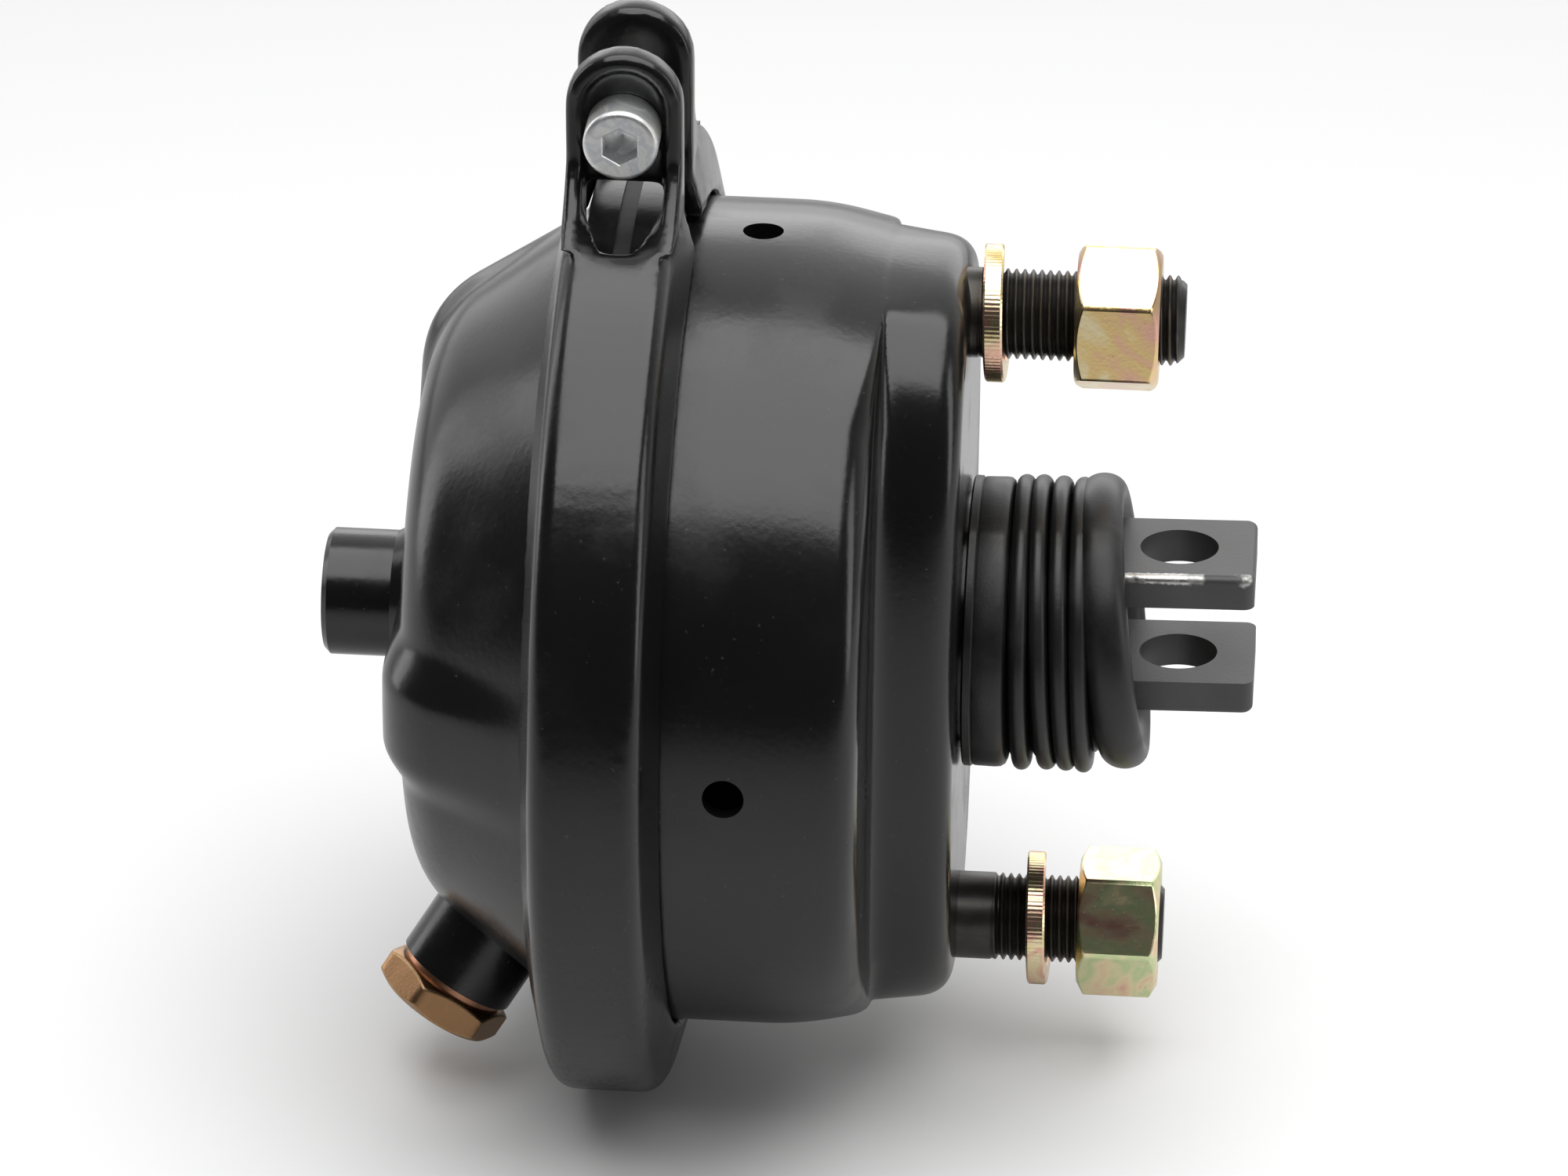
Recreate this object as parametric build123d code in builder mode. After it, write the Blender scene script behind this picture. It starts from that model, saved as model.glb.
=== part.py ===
"""Service brake chamber with one diaphragm, two mounting studs and a fork on its push rod.

Frame: +X runs along the push rod towards the fork, +Z along the line of the studs, and the
origin is the centre of the mounting face. All lengths are in millimetres.
"""
from build123d import *

import os
from math import atan, cos, degrees, radians, sin, tan

# Fits between pieces
thread_slack = 0.05      # radial play of a threaded or welded-in piece in its bore
seat_slack = 0.3         # play between a soft or loose piece and what carries it
hole_slack = 0.5         # radial play of a screw in a plain hole

# Chamber body, drawn round the spacing of its two studs
stud_spacing = 120.65
stud_inset = 13.875      # from a stud's centre out to the drum's wall
housing_wall = 3.0
flange_rise = 7.8        # how far the flanges stand out of the drum
flange_edge = 5.2        # thickness of a flange at its outer edge
flange_lean = 15.0       # degrees, slope of a flange's back under the clamp band
clamp_depth = 60.0       # from the mounting face back to the middle of the clamped joint
diaphragm_thickness = 3.0

# Stepped mounting pad of the service housing
taper_start = 27.0       # distance behind the mounting face where the drum starts to narrow
pad_step = 14.5
pad_half_width = 39.5
pad_inset_z = 3.7        # how far the pad's face stays inside the drum along the studs
pad_inset_y = 18.2
shoulder_inset_z = 3.0   # the same for the shoulders beside the pad
shoulder_inset_y = 1.7
pad_draft = 3.0
pad_edge_round = 6.0
pad_foot_round = 4.0
shoulder_round = 3.5
floor_thickness = 4.0
pocket_radius = 35.5
vent_diameter = 7.0
vent_offset = 22.8       # from the clamped joint towards the mounting face
vent_count = 4

# Pressure housing
cover_depth = 40.0       # from the clamped joint to the cover's flat end
cover_crown = 3.7        # how far the end swells from its rim to its hub
cover_hub_radius = 14.0
cover_rim_inset = 22.7   # how far the rim of the end stays inside the drum
cover_foot_height = 10.5
cover_foot_inset = 3.6
cover_rim_round = 8.0
ridge_count = 3
ridge_width = 20.0
ridge_flare = 5.0        # degrees that each side of a ridge spreads towards its foot
ridge_foot_height = 13.0
ridge_foot_inset = 5.0
ridge_rim_round = 15.0
ridge_edge_round = 2.5

# Ports
port_bore = 14.5
inlet_diameter = 23.0
inlet_length = 15.5
weld_bead = 3.0
side_port_diameter = 22.3
side_port_height = 9.5
side_port_tilt = 32.0    # degrees away from radial, towards the cover's end
side_port_clock = -75.0  # degrees round the axis, from -Y towards +Z
side_port_place = 30.5   # from the clamped joint back to the port's rim
side_port_inset = 4.05   # how far the port's rim stays inside the drum's radius
port_chamfer = 1.0
plug_flats = 22.0
plug_head = 6.0
plug_depth = 9.0
seal_thickness = 1.5
seal_diameter = 20.0

# Clamp band with its screw
band_wall = 3.5
band_room = 2.2          # between the flanges' edge and the inside of the crown
band_mouth_play = 0.8    # between the drum and the band's legs
band_edge_round = 4.0
band_slack = 0.2
clamp_clock = 3.7        # degrees that the lugs lean from +Z towards -Y
lug_gap = 13.0
lug_plate = 4.0
lug_rim = 2.2            # how far the rolled rim stands out of the lug's plate
lug_rim_width = 3.0
lug_rim_round = 1.2
lug_width = 20.4
lug_arch_rise = 4.1      # from the screw's centre up to the centre of the lug's arch
clamp_screw_rise = 13.0  # from the crown up to the screw's centre
clamp_screw_diameter = 8.0
clamp_head_diameter = 13.0
clamp_head_height = 8.0
clamp_head_chamfer = 0.8
clamp_socket = 6.0
clamp_socket_depth = 4.0
clamp_nut_flats = 13.0
clamp_nut_height = 6.5
clamp_screw_tail = 4.0
window_sill = 2.3        # how far the opening's top edge stands above the crown
window_reach = 24.5      # how far the opening runs out along the crown
window_width = 14.0
window_end_width = 6.0
gusset_height = 14.0
gusset_reach = 17.0
gusset_sweep = 1.4       # radius of a web's hollow edge against its reach
gusset_width = 3.2

# Studs, nuts and lock washers
stud_diameter = 16.0
stud_thread_radius = 7.9
stud_embed = 16.0
stud_reach = 37.5
stud_end_chamfer = 1.5
stud_stations = {
    "upper": {"side": 1, "shank": 1.1, "washer": 1.3, "nut": 18.3, "nut_turn": 30.0},
    "lower": {"side": -1, "shank": 6.0, "washer": 11.8, "nut": 22.0, "nut_turn": 0.0},
}
nut_flats = 24.0
nut_height = 14.8
nut_chamfer_angle = 30.0
nut_face_relief = 0.6
washer_bore = 16.8
washer_diameter = 24.5
washer_thickness = 3.5
washer_lift = 2.0
washer_turn = 0.96       # share of a full turn, which leaves the slit

# Push rod line
rod_tilt = 1.27          # degrees that the rod line rises towards the fork
rod_diameter = 16.0
plate_inset = 11.5       # how far the push plate stays inside the rim of the cover's end
plate_thickness = 3.0
plate_round = 1.2
plate_hub_diameter = 26.0
plate_hub_height = 4.0
rod_end_x = 22.0
lock_nut_height = 8.0
fork_base_x = 3.0
fork_base_diameter = 24.0
fork_body_x = 21.0
fork_slot_x = 24.5
fork_hole_x = 38.2
fork_end_x = 51.9
fork_shoulder_y = 0.5    # how far the fork's body stands out beside its round base
fork_shoulder_z = 1.5
fork_gap = 14.6
fork_hole = 14.0
fork_edge = 1.2
fork_corner = 2.0

# Return spring
spring_wire = 4.5
spring_wide_radius = 31.5
spring_narrow_radius = 21.5
spring_turns = 5.0
spring_tilt_play = 1.2

# Boot and the ring it grips
ring_radius = 23.0
ring_wall = 4.0
ring_shoulder = 2.0      # how far the ring stands out round its spigot
ring_length = 9.5
ring_chamfer = 0.8
cuff_start = 0.6
cuff_length = 9.4
cuff_wall = 2.7
fold_count = 4
fold_pitch = 3.5
fold_depth = 4.0
fold_rise = 3.5          # from the ring's outside to the crest of a fold
fold_wall = 2.3
roll_radius = 3.2
mouth_inset = 5.5        # from the crest of the last roll in to the rim of the mouth
lip_x = 12.0
lip_length = 3.0
lip_radius = 9.0


# Sizes and places that follow from the sizes above
lean_slope = tan(radians(flange_lean))
body_radius = stud_spacing / 2 + stud_inset
flange_radius = body_radius + flange_rise
cover_rim_radius = body_radius - cover_rim_inset
cover_foot_radius = body_radius - cover_foot_inset
plate_radius = cover_rim_radius - plate_inset
band_mouth_radius = body_radius + band_mouth_play
channel_crown = flange_radius + band_room
band_crown_radius = channel_crown + band_wall
clamp_screw_reach = band_crown_radius + clamp_screw_rise
lug_arch_reach = clamp_screw_reach + lug_arch_rise
window_top = band_crown_radius + window_sill
ring_spigot_radius = ring_radius - ring_shoulder
fold_crest = ring_radius + fold_rise
mouth_radius = fold_crest - mouth_inset
fork_width = fork_base_diameter + 2 * fork_shoulder_y
fork_height = fork_base_diameter + 2 * fork_shoulder_z
clamp_x = -clamp_depth
cover_end_x = clamp_x - cover_depth
cover_rim_x = cover_end_x + cover_crown
cover_foot_x = clamp_x - cover_foot_height
cover_joint_x = clamp_x - diaphragm_thickness / 2
housing_joint_x = clamp_x + diaphragm_thickness / 2
dish_x = cover_rim_x + housing_wall + seat_slack + diaphragm_thickness
plate_x = dish_x + plate_radius * sin(radians(rod_tilt)) + seat_slack


def rod_plane(x):
    """Plane square to the tilted rod line where it passes the distance x along the axis."""
    rise = radians(rod_tilt)
    along = Plane(origin=(plate_x, 0, 0), x_dir=(0, 1, 0), z_dir=(cos(rise), 0, sin(rise)))
    return along.offset((x - plate_x) / cos(rise))


def rod_length(start_x, end_x):
    """Length along the tilted rod line between two distances along the axis."""
    return (end_x - start_x) / cos(radians(rod_tilt))


def clamp_plane(side, distance):
    """Plane across the clamp screw, facing out of the gap, with local y away from the axis."""
    lean = radians(clamp_clock)
    outwards = Vector(0, side * cos(lean), side * sin(lean))
    origin = Vector(clamp_x, 0, 0) + outwards * distance
    return Plane(origin=origin, x_dir=(-side, 0, 0), z_dir=outwards)


def clamp_section(side, offset):
    """Plane along the band on one side of the gap, with local x away from the gap."""
    lean = radians(clamp_clock)
    outwards = (0, side * cos(lean), side * sin(lean))
    return Plane(origin=(clamp_x + offset, 0, 0), x_dir=outwards, z_dir=(side, 0, 0))


def side_port_plane(height):
    """Plane of the side port at a height above, or below, its rim."""
    tilt = radians(side_port_tilt)
    clock = radians(side_port_clock)
    radial = Vector(0, -cos(clock), sin(clock))
    outwards = Vector(-sin(tilt), 0, 0) + radial * cos(tilt)
    rim = Vector(clamp_x - side_port_place, 0, 0) + radial * (body_radius - side_port_inset)
    return Plane(origin=rim + outwards * height, x_dir=radial.cross(outwards), z_dir=outwards)


def dish_points(hub_x, hub_radius, axis_margin, open_margin):
    """Half outline of the cover's dish, from below the axis round to past its open side."""
    return [
        (hub_x, -axis_margin),
        (hub_x, hub_radius),
        (cover_rim_x, cover_rim_radius),
        (cover_foot_x, cover_foot_radius),
        (cover_joint_x - flange_edge, body_radius),
        (cover_joint_x + open_margin, body_radius),
        (cover_joint_x + open_margin, -axis_margin),
    ]


def chamfer_drop(flats, angle):
    """Depth of the turned chamfer on a hexagon's corners."""
    return (flats / cos(radians(30)) - flats) / 2 * tan(radians(angle))


fork_normal = Axis((0, 0, 0), (-sin(radians(rod_tilt)), 0, cos(radians(rod_tilt))))
fork_plan = Plane(
    origin=rod_plane(fork_body_x).origin,
    x_dir=rod_plane(0).z_dir,
    z_dir=rod_plane(0).y_dir,
)
fork_section = Plane(
    origin=rod_plane(fork_body_x).origin, x_dir=rod_plane(0).z_dir, z_dir=(0, -1, 0)
)
fork_pin_plane = Plane(
    origin=rod_plane(fork_hole_x).origin, x_dir=(0, 1, 0), z_dir=rod_plane(fork_hole_x).y_dir
)
clamp_axis = Axis((0, 0, 0), clamp_plane(1, 0).z_dir)


# Service housing: a drum that narrows to a stepped, flat-sided mounting pad
with BuildPart() as service_housing:
    with BuildSketch(Plane.YZ.offset(housing_joint_x)):
        Circle(body_radius)
    extrude(amount=-taper_start - housing_joint_x)
    with BuildSketch(Plane.YZ.offset(-taper_start)):
        Circle(body_radius)
    with BuildSketch(Plane.YZ.offset(-pad_step)):
        Ellipse(body_radius - shoulder_inset_y, body_radius - shoulder_inset_z)
    with BuildSketch(Plane.YZ):
        Ellipse(body_radius - pad_inset_y, body_radius - pad_inset_z)
    loft(ruled=True)
    draft_run = pad_step * tan(radians(pad_draft))
    for side in (-1, 1):
        with BuildSketch(Plane.XY):
            with BuildLine():
                Polyline(
                    (-pad_step, side * (pad_half_width + draft_run)),
                    (pad_step, side * (pad_half_width - draft_run)),
                    (pad_step, side * body_radius * 2),
                    (-pad_step, side * body_radius * 2),
                    close=True,
                )
            land = make_face()
            fillet(land.vertices().sort_by(Axis.X)[:2].sort_by_distance((0, 0))[0], pad_foot_round)
        extrude(amount=body_radius * 2, both=True, mode=Mode.SUBTRACT)
    fillet(service_housing.faces().sort_by(Axis.X)[-1].edges(), pad_edge_round)
    step_faces = service_housing.faces().filter_by(Axis.X).group_by(Axis.X)[-2]
    rim_edges = [edge for edge in step_faces.edges() if edge.geom_type != GeomType.LINE]
    fillet(rim_edges, shoulder_round)
    # flange under the clamp band
    inner_radius = body_radius - housing_wall
    flange_root = flange_edge + (flange_radius - inner_radius) * lean_slope
    with BuildSketch(Plane.XZ):
        with BuildLine():
            Polyline(
                (housing_joint_x, inner_radius),
                (housing_joint_x, flange_radius),
                (housing_joint_x + flange_edge, flange_radius),
                (housing_joint_x + flange_root, inner_radius),
                close=True,
            )
        make_face()
    revolve(axis=Axis.X)
    # hollow inside, narrow in the pad so that the studs stand in solid metal
    with BuildSketch(Plane.XZ):
        with BuildLine():
            Polyline(
                (housing_joint_x, 0),
                (housing_joint_x, inner_radius),
                (-taper_start, inner_radius),
                (-pad_step - housing_wall, stud_spacing / 2),
                (-pad_step - housing_wall, pocket_radius),
                (-floor_thickness, pocket_radius),
                (-floor_thickness, 0),
                close=True,
            )
        make_face()
    revolve(axis=Axis.X, mode=Mode.SUBTRACT)
    # hole for the boot's ring, blind holes for the studs, and the vents
    with BuildSketch(Plane.YZ):
        Circle(ring_spigot_radius + thread_slack)
    extrude(amount=-floor_thickness, mode=Mode.SUBTRACT)
    with BuildSketch(Plane.YZ):
        with GridLocations(0, stud_spacing, 1, 2):
            Circle(stud_thread_radius + thread_slack)
    extrude(amount=-stud_embed, mode=Mode.SUBTRACT)
    for index in range(vent_count):
        with BuildSketch(Plane.XY.rotated((360 / vent_count * index, 0, 0))):
            with Locations((clamp_x + vent_offset, 0)):
                Circle(vent_diameter / 2)
        extrude(amount=body_radius * 2, mode=Mode.SUBTRACT)

# Pressure housing: a dished cover with three ridges that stand out of its wall
ridge_length = cover_depth - ridge_foot_height
with BuildPart() as ridge_bars:
    for index in range(ridge_count):
        clock = radians(180 + 360 / ridge_count * index)
        outwards = (0, cos(clock), sin(clock))
        with BuildSketch(Plane(origin=(cover_end_x, 0, 0), x_dir=(1, 0, 0), z_dir=outwards)):
            spread = ridge_width / 2 + ridge_length * tan(radians(ridge_flare))
            with BuildLine():
                Polyline(
                    (0, -ridge_width / 2),
                    (ridge_length, -spread),
                    (ridge_length, spread),
                    (0, ridge_width / 2),
                    close=True,
                )
            make_face()
        extrude(amount=body_radius)

with BuildPart() as ridges:
    with BuildSketch(Plane.XZ):
        with BuildLine():
            Polyline(
                (cover_end_x, 0),
                (cover_end_x + ridge_length, 0),
                (cover_end_x + ridge_length, body_radius - ridge_foot_inset),
                (cover_end_x, cover_rim_radius),
                close=True,
            )
        make_face()
    revolve(axis=Axis.X)
    fillet(ridges.faces().sort_by(Axis.X)[0].edges(), ridge_rim_round)
    add(ridge_bars, mode=Mode.INTERSECT)
    ridge_backs = ridges.faces().filter_by(GeomType.PLANE, reverse=True)
    back_edges = ridge_backs.edges()
    side_edges = ridges.faces().filter_by(GeomType.PLANE).filter_by(Axis.X, reverse=True).edges()
    long_edges = [edge for edge in side_edges if edge in back_edges]
    fillet(long_edges, ridge_edge_round)

with BuildPart() as pressure_housing:
    with BuildSketch(Plane.XZ):
        with BuildLine():
            Polyline(dish_points(cover_end_x, cover_hub_radius, 0, 0), close=True)
        make_face()
    revolve(axis=Axis.X)
    rim_edges = pressure_housing.edges().filter_by(GeomType.CIRCLE).group_by(Axis.X)[1]
    fillet(rim_edges, cover_rim_round)
    add(ridges)
    flange_root = flange_edge + (flange_radius - cover_foot_radius) * lean_slope
    with BuildSketch(Plane.XZ):
        with BuildLine():
            Polyline(
                (cover_joint_x, cover_foot_radius),
                (cover_joint_x, flange_radius),
                (cover_joint_x - flange_edge, flange_radius),
                (cover_joint_x - flange_root, cover_foot_radius),
                close=True,
            )
        make_face()
    revolve(axis=Axis.X)
    # hollow inside
    with BuildSketch(Plane.XZ):
        with BuildLine():
            Polyline(
                dish_points(cover_end_x, cover_hub_radius, housing_wall, housing_wall), close=True
            )
        make_face()
        offset(amount=-housing_wall, kind=Kind.INTERSECTION, mode=Mode.REPLACE)
    revolve(axis=Axis.X, mode=Mode.SUBTRACT)
    # holes for the two ports
    with BuildSketch(Plane.YZ.offset(cover_end_x)):
        Circle(port_bore / 2 + weld_bead / 2 + thread_slack)
    extrude(amount=housing_wall * 2, mode=Mode.SUBTRACT)
    with BuildSketch(side_port_plane(0)):
        Circle(side_port_diameter / 2 + thread_slack)
    extrude(amount=-side_port_height - housing_wall * 2, mode=Mode.SUBTRACT)

# Inlet boss with a turned weld bead round its foot and a spigot in the cover's hole
with BuildPart() as inlet_port_boss:
    inlet_radius = inlet_diameter / 2
    with BuildSketch(Plane.XZ):
        with BuildLine():
            Polyline(
                (cover_end_x + housing_wall, port_bore / 2),
                (cover_end_x + housing_wall, (port_bore + weld_bead) / 2),
                (cover_end_x, (port_bore + weld_bead) / 2),
                (cover_end_x, inlet_radius + weld_bead / 2),
                (cover_end_x - weld_bead, inlet_radius),
                (cover_end_x - inlet_length, inlet_radius),
                (cover_end_x - inlet_length, port_bore / 2),
                close=True,
            )
        make_face()
    revolve(axis=Axis.X)
    chamfer(inlet_port_boss.faces().sort_by(Axis.X)[0].edges(), port_chamfer)

# Side port: the same kind of boss, square to the cover's wall, closed by a plug on a seal
with BuildPart() as side_port_boss:
    with BuildSketch(side_port_plane(0)):
        Circle(side_port_diameter / 2)
        Circle(port_bore / 2, mode=Mode.SUBTRACT)
    extrude(amount=-side_port_height - housing_wall)

with BuildPart() as plug_seal:
    with BuildSketch(side_port_plane(0)):
        Circle(seal_diameter / 2)
        Circle(port_bore / 2, mode=Mode.SUBTRACT)
    extrude(amount=seal_thickness)

with BuildPart() as port_plug:
    with BuildSketch(side_port_plane(seal_thickness)):
        RegularPolygon(plug_flats / 2, 6, major_radius=False)
    extrude(amount=plug_head)
    with BuildSketch(side_port_plane(seal_thickness)):
        Circle(port_bore / 2 - thread_slack)
    extrude(amount=-seal_thickness - plug_depth)

# Clamp band: a channel round both flanges, open at the screw, its ends bent up as arched lugs
band_plane_half = diaphragm_thickness / 2 + flange_edge + band_slack
leg_foot_half = band_plane_half + (flange_radius - band_mouth_radius) * lean_slope
leg_width = band_wall / cos(radians(flange_lean))
channel_half = band_plane_half - band_room * lean_slope
crown_half = leg_foot_half + leg_width - (band_crown_radius - band_mouth_radius) * lean_slope
lug_foot = lug_gap / 2 + lug_plate
with BuildPart() as clamp_band:
    with BuildSketch(Plane.XZ.move(Location((clamp_x, 0, 0)))):
        with BuildLine():
            Polyline(
                (-leg_foot_half - leg_width, band_mouth_radius),
                (-crown_half, band_crown_radius),
                (crown_half, band_crown_radius),
                (leg_foot_half + leg_width, band_mouth_radius),
                close=True,
            )
        make_face()
    revolve(axis=Axis.X)
    crown_edges = clamp_band.edges().filter_by(GeomType.CIRCLE).group_by(SortBy.RADIUS)[-1]
    fillet(crown_edges, band_edge_round)
    for side in (-1, 1):
        # lug with an arched top and rolled edges
        with BuildPart() as lug:
            with BuildSketch(clamp_plane(side, lug_gap / 2)):
                with Locations((0, channel_crown)):
                    Rectangle(lug_width, lug_arch_reach - channel_crown, align=(Align.CENTER, Align.MIN))
                with Locations((0, lug_arch_reach)):
                    Circle(lug_width / 2)
            extrude(amount=lug_plate + lug_rim)
            lug_faces = lug.faces().filter_by(clamp_axis)
            arch_edges = [edge for edge in lug_faces.edges() if edge.geom_type == GeomType.CIRCLE]
            fillet(arch_edges, lug_rim_round)
        # side webs that carry the band's shoulders up into the lug's rim
        for offset_x in (-(lug_width - gusset_width) / 2, (lug_width - gusset_width) / 2):
            with BuildSketch(clamp_section(side, offset_x)):
                with BuildLine():
                    top = (lug_foot, channel_crown + gusset_height)
                    out = (lug_foot + gusset_reach, channel_crown)
                    RadiusArc(top, out, -gusset_reach * gusset_sweep)
                    Polyline(out, (lug_foot, channel_crown), top)
                make_face()
            extrude(amount=gusset_width / 2, both=True)
    with BuildSketch(Plane.XZ.move(Location((clamp_x, 0, 0)))):
        with BuildLine():
            Polyline(
                (-leg_foot_half, band_mouth_radius - band_slack),
                (-channel_half, channel_crown),
                (channel_half, channel_crown),
                (leg_foot_half, band_mouth_radius - band_slack),
                close=True,
            )
        make_face()
    revolve(axis=Axis.X, mode=Mode.SUBTRACT)
    for side in (-1, 1):
        # gap between the band's ends
        with BuildSketch(clamp_plane(side, 0)):
            with Locations((0, band_mouth_radius - band_wall)):
                Rectangle(lug_width * 2, lug_arch_reach, align=(Align.CENTER, Align.MIN))
        extrude(amount=lug_gap / 2, mode=Mode.SUBTRACT)
        # pressed dish inside the lug's rim and the hole for the screw
        dish_radius = lug_width / 2 - lug_rim_width
        with BuildSketch(clamp_plane(side, lug_foot)):
            with Locations((0, window_top)):
                Rectangle(
                    dish_radius * 2, lug_arch_reach - window_top, align=(Align.CENTER, Align.MIN)
                )
            with Locations((0, lug_arch_reach)):
                Circle(dish_radius)
        extrude(amount=lug_rim + gusset_reach, mode=Mode.SUBTRACT)
        with BuildSketch(clamp_plane(side, 0)):
            with Locations((0, clamp_screw_reach)):
                Circle(clamp_screw_diameter / 2 + hole_slack)
        extrude(amount=lug_gap, mode=Mode.SUBTRACT)
    # opening left in the crown where each lug was bent up
    with BuildSketch(Plane(origin=(clamp_x, 0, 0), z_dir=clamp_plane(1, 0).y_dir, x_dir=(1, 0, 0))):
        for side in (-1, 1):
            with BuildLine():
                Polyline(
                    (-window_width / 2, 0),
                    (-window_width / 2, side * (lug_foot + lug_rim)),
                    (-window_end_width / 2, side * window_reach),
                    (window_end_width / 2, side * window_reach),
                    (window_width / 2, side * (lug_foot + lug_rim)),
                    (window_width / 2, 0),
                    close=True,
                )
            make_face()
    extrude(amount=window_top, mode=Mode.SUBTRACT)

# Clamp screw with a socket head, and its nut behind the far lug
with BuildPart() as clamp_screw:
    with BuildSketch(clamp_plane(-1, lug_foot)):
        with Locations((0, clamp_screw_reach)):
            Circle(clamp_head_diameter / 2)
    extrude(amount=clamp_head_height)
    head_face = clamp_screw.faces().sort_by(clamp_axis)[0]
    chamfer(head_face.edges(), clamp_head_chamfer)
    with BuildSketch(clamp_plane(-1, lug_foot + clamp_head_height)):
        with Locations((0, clamp_screw_reach)):
            RegularPolygon(clamp_socket / 2, 6, major_radius=False)
    extrude(amount=-clamp_socket_depth, mode=Mode.SUBTRACT)
    with BuildSketch(clamp_plane(-1, lug_foot)):
        with Locations((0, clamp_screw_reach)):
            Circle(clamp_screw_diameter / 2)
    extrude(amount=-2 * lug_foot - clamp_nut_height - clamp_screw_tail)

with BuildPart() as clamp_nut:
    with BuildSketch(clamp_plane(1, lug_foot)):
        with Locations((0, clamp_screw_reach)):
            RegularPolygon(clamp_nut_flats / 2, 6, major_radius=False, rotation=30)
            Circle(clamp_screw_diameter / 2 + thread_slack, mode=Mode.SUBTRACT)
    extrude(amount=clamp_nut_height)

# Diaphragm: clamped by its rim, dished back against the cover when the brake is off
outer_skin = housing_wall + seat_slack
inner_skin = outer_skin + diaphragm_thickness
with BuildPart() as diaphragm:
    with BuildSketch(Plane.XZ):
        with BuildLine():
            Polyline(
                dish_points(cover_rim_x, cover_hub_radius, outer_skin, outer_skin), close=True
            )
        make_face()
        offset(amount=-outer_skin, kind=Kind.INTERSECTION, mode=Mode.REPLACE)
    revolve(axis=Axis.X)
    with BuildSketch(Plane.YZ.offset(cover_joint_x)):
        Circle(flange_radius - seat_slack)
    extrude(amount=diaphragm_thickness)
    with BuildSketch(Plane.XZ):
        with BuildLine():
            Polyline(
                dish_points(
                    cover_rim_x, cover_hub_radius, inner_skin, inner_skin + diaphragm_thickness
                ),
                close=True,
            )
        make_face()
        offset(amount=-inner_skin, kind=Kind.INTERSECTION, mode=Mode.REPLACE)
    revolve(axis=Axis.X, mode=Mode.SUBTRACT)

# Push plate, rod, lock nut and fork stand on one line that rises slightly towards the fork
with BuildPart() as push_plate:
    with BuildSketch(rod_plane(plate_x)):
        Circle(plate_radius)
    extrude(amount=plate_thickness)
    with BuildSketch(rod_plane(plate_x).offset(plate_thickness)):
        Circle(plate_hub_diameter / 2)
    extrude(amount=plate_hub_height)
    with BuildSketch(rod_plane(plate_x).offset(plate_thickness)):
        Circle(rod_diameter / 2 + thread_slack)
    extrude(amount=plate_hub_height, mode=Mode.SUBTRACT)
    fillet(push_plate.edges().filter_by(GeomType.CIRCLE).group_by(SortBy.RADIUS)[-1], plate_round)

with BuildPart() as push_rod:
    with BuildSketch(rod_plane(plate_x).offset(plate_thickness)):
        Circle(rod_diameter / 2)
    extrude(amount=rod_length(plate_x, rod_end_x) - plate_thickness)
    chamfer(push_rod.faces().sort_by(Axis.X)[-1].edges(), stud_end_chamfer)

with BuildPart() as rod_lock_nut:
    with BuildSketch(rod_plane(fork_base_x).offset(-lock_nut_height)):
        RegularPolygon(nut_flats / 2, 6, major_radius=False)
        Circle(rod_diameter / 2 + thread_slack, mode=Mode.SUBTRACT)
    extrude(amount=lock_nut_height)

with BuildPart() as fork:
    with BuildSketch(rod_plane(fork_base_x)):
        Circle(fork_base_diameter / 2)
    extrude(amount=rod_length(fork_base_x, fork_body_x))
    # body with the corners of its free end rounded, then its long edges
    with BuildSketch(fork_plan):
        body_length = rod_length(fork_body_x, fork_end_x)
        plan = Rectangle(body_length, fork_width, align=(Align.MIN, Align.CENTER))
        fillet(plan.vertices().sort_by(Axis.X)[-2:], fork_corner)
    extrude(amount=fork_height / 2, both=True)
    flat_faces = fork.faces().filter_by(fork_normal)
    fillet(flat_faces.edges(), fork_edge)
    with BuildSketch(fork_section):
        with Locations((rod_length(fork_body_x, fork_slot_x), 0)):
            Rectangle(fork_width * 2, fork_gap, align=(Align.MIN, Align.CENTER))
    extrude(amount=fork_width, both=True, mode=Mode.SUBTRACT)
    # threaded hole for the rod and the bore for the fork's pin
    with BuildSketch(rod_plane(fork_base_x)):
        Circle(rod_diameter / 2 + thread_slack)
    extrude(amount=rod_length(fork_base_x, fork_slot_x), mode=Mode.SUBTRACT)
    with BuildSketch(fork_pin_plane):
        Circle(fork_hole / 2)
    extrude(amount=fork_height, both=True, mode=Mode.SUBTRACT)

# Return spring: a cone of wire, wide on the housing's floor and narrow on the push plate
spring_start_x = plate_x + plate_thickness + spring_wire / 2 + spring_tilt_play
spring_length = -floor_thickness - spring_wire / 2 - seat_slack - spring_start_x
spring_slope = degrees(atan((spring_wide_radius - spring_narrow_radius) / spring_length))
with BuildPart() as return_spring:
    with BuildLine() as coil:
        Helix(
            pitch=spring_length / spring_turns,
            height=spring_length,
            radius=spring_narrow_radius,
            center=(spring_start_x, 0, 0),
            direction=(1, 0, 0),
            cone_angle=spring_slope,
        )
    with BuildSketch(Plane(origin=coil.line @ 0, z_dir=coil.line % 0)):
        Circle(spring_wire / 2)
    sweep(is_frenet=True)

# Ring in the middle of the mounting face, and the boot that grips it
with BuildPart() as boot_ring:
    with BuildSketch(Plane.XZ):
        with BuildLine():
            Polyline(
                (-floor_thickness, ring_radius - ring_wall),
                (-floor_thickness, ring_spigot_radius),
                (0, ring_spigot_radius),
                (0, ring_radius),
                (ring_length, ring_radius),
                (ring_length, ring_radius - ring_wall),
                close=True,
            )
        make_face()
    revolve(axis=Axis.X)
    chamfer(boot_ring.faces().sort_by(Axis.X)[-1].edges(), ring_chamfer)

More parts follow.
